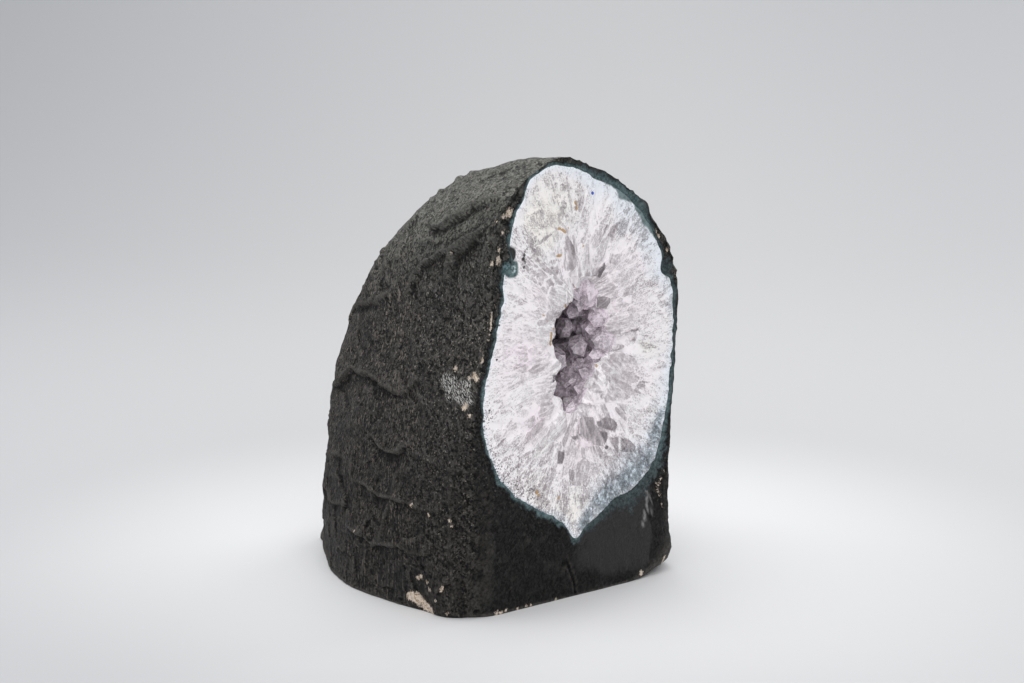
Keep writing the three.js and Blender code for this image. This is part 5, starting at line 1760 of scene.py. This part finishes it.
def studio():
    """A pale floor that curves up into a wall behind the stone, with light painted into its colour: palest
    round the stone, where a painted pool of light lifts its shadow, and greyer towards the sides, the right
    and the far wall.
    """
    width = np.linspace(-4.0, 4.0, 15)
    run = np.array([
        (-4.0, 0.0), (-1.6, 0.0), (-0.4, 0.0), (0.7, 0.0), (1.0, 0.03), (1.25, 0.13), (1.45, 0.32),
        (1.55, 0.6), (1.6, 1.1), (1.6, 2.4),
    ])
    across, along = np.meshgrid(width, np.arange(len(run)))
    forward = np.array([-np.sin(VIEW_TURN), np.cos(VIEW_TURN)])
    right = np.array([np.cos(VIEW_TURN), np.sin(VIEW_TURN)])
    flat = across[..., None] * right + run[along, 0][..., None] * forward
    points = np.concatenate([flat, run[along, 1][..., None]], axis=-1).reshape(-1, 3)
    mesh = bpy.data.meshes.new("studio_sweep")
    mesh.from_pydata(points.tolist(), [], grid_faces(len(run), len(width)).tolist())
    mesh.polygons.foreach_set("use_smooth", np.ones(len(mesh.polygons), bool))
    sweep = bpy.data.objects.new("studio_sweep", mesh)
    bpy.context.scene.collection.objects.link(sweep)
    finish = sweep.modifiers.new("rounding", "SUBSURF")
    finish.levels = finish.render_levels = 3
    material, sheet, shader, spot = new_material("sweep with painted light")
    sideways = sheet.vectors("DOT_PRODUCT", spot, (right[0], right[1], 0.0))["Value"]
    away = sheet.vectors("DOT_PRODUCT", spot, (forward[0], forward[1], 0.0))["Value"]
    # Painted light: paler towards the middle and the stone, greyer towards the sides and the far wall
    aside = sheet.maths("ABSOLUTE", sideways - 0.10)
    pale = sheet.step(aside, 0.02, 0.70, 1.0, 0.0)
    from_middle = sheet.maths("ABSOLUTE", away - 0.65)
    close = sheet.step(from_middle, 0.15, 1.3, 1.0, 0.0)
    share = pale * 0.55 + close * 0.45
    painted_light_sweep = sheet.mix(share, (0.348, 0.358, 0.372, 1), (0.507, 0.507, 0.511, 1))
    # Painted shade: greyer towards the right
    at_right = sheet.step(sideways, 0.12, 0.60, 0.0, 0.32)
    painted_light_sweep = sheet.mix(at_right, painted_light_sweep, (0.36, 0.37, 0.38, 1))
    # Painted pool of light on the floor round the stone, which lifts its shadow
    middle = 0.03 * right + 0.02 * forward
    from_stone = sheet.vectors("DISTANCE", spot, (middle[0], middle[1], 0.0))["Value"]
    painted_light_sweep = sheet.mix(sheet.step(from_stone, 0.06, 0.25, 0.46, 0.0), painted_light_sweep, (0.9, 0.9, 0.9, 1))
    sheet.set(shader.inputs["Base Color"], painted_light_sweep)
    sheet.set(shader.inputs["Roughness"], 0.62)
    mesh.materials.append(material)


def soft_light(name, place_, target, size, power, colour=(1, 1, 1)):
    """A square area light at a place in metres, turned towards a target."""
    data = bpy.data.lights.new(name, "AREA")
    data.shape = "SQUARE"
    data.size = size
    data.energy = power
    data.color = colour
    lamp = bpy.data.objects.new(name, data)
    lamp.location = place_
    away = np.array(place_, float) - np.array(target, float)
    lamp.rotation_euler = direction_to_turn(away)
    bpy.context.scene.collection.objects.link(lamp)
    return lamp


def direction_to_turn(away):
    """The XYZ turn that points an object's -Z axis against this direction."""
    return Vector(away).to_track_quat("Z", "Y").to_euler()


def set_camera():
    """The camera at the photograph's viewpoint."""
    data = bpy.data.cameras.new("viewpoint")
    data.lens = VIEW_LENS
    data.sensor_width = 36.0
    data.clip_end = 20.0
    camera = bpy.data.objects.new("viewpoint", data)
    camera.location = place(VIEW_PLACE)
    camera.rotation_euler = (np.pi / 2 - VIEW_TILT, 0, VIEW_TURN)
    bpy.context.scene.collection.objects.link(camera)
    bpy.context.scene.camera = camera


def set_light():
    """Soft light from all round, strongest from above and behind, with a broad window at the front left and
    one on each side."""
    world = bpy.data.worlds.new("light tent")
    world.use_nodes = True
    world.node_tree.nodes["Background"].inputs[0].default_value = (0.95, 0.96, 1.0, 1)
    world.node_tree.nodes["Background"].inputs[1].default_value = 0.54
    bpy.context.scene.world = world
    bpy.context.scene.view_settings.view_transform = "Standard"
    middle = (0, 0, 0.08)
    soft_light("overhead", (-0.05, 0.25, 1.3), middle, 1.6, 16.0)
    soft_light("front window", around(-32, 30, 1.7), middle, 1.3, 12.5)
    soft_light("left back", around(-125, 35, 1.35), middle, 0.9, 3.0)
    soft_light("right side", around(95, 30, 1.5), middle, 1.0, 6.5)


def around(azimuth, elevation, distance):
    """A place this far from the stone: azimuth 0 is in front of the sawn face, negative to its left."""
    a, e = np.deg2rad(azimuth), np.deg2rad(elevation)
    return (distance * np.sin(a) * np.cos(e), -distance * np.cos(a) * np.cos(e), 0.08 + distance * np.sin(e))


fine_grain = grain_group()
broken_patch = broken_group()
tinted_mineral = tinted_group()
rind_paint = make_rind_paint()
milky_quartz = make_milky_quartz()
dark_amethyst = make_dark_amethyst()

set_camera()
set_light()
studio()

rock_rind = rind()
face, fields = quartz_and_lining()
quartz = sawn_quartz(face, fields)
crust = amethyst_crust(face, fields)

for piece, node, slot in (
    (rock_rind, "rock_shell", "painted_rind"),
    (quartz, "quartz_body", "milky_quartz"),
    (crust, "crystal_crust", "pale_amethyst"),
):
    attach(piece, "root")
    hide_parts(node)
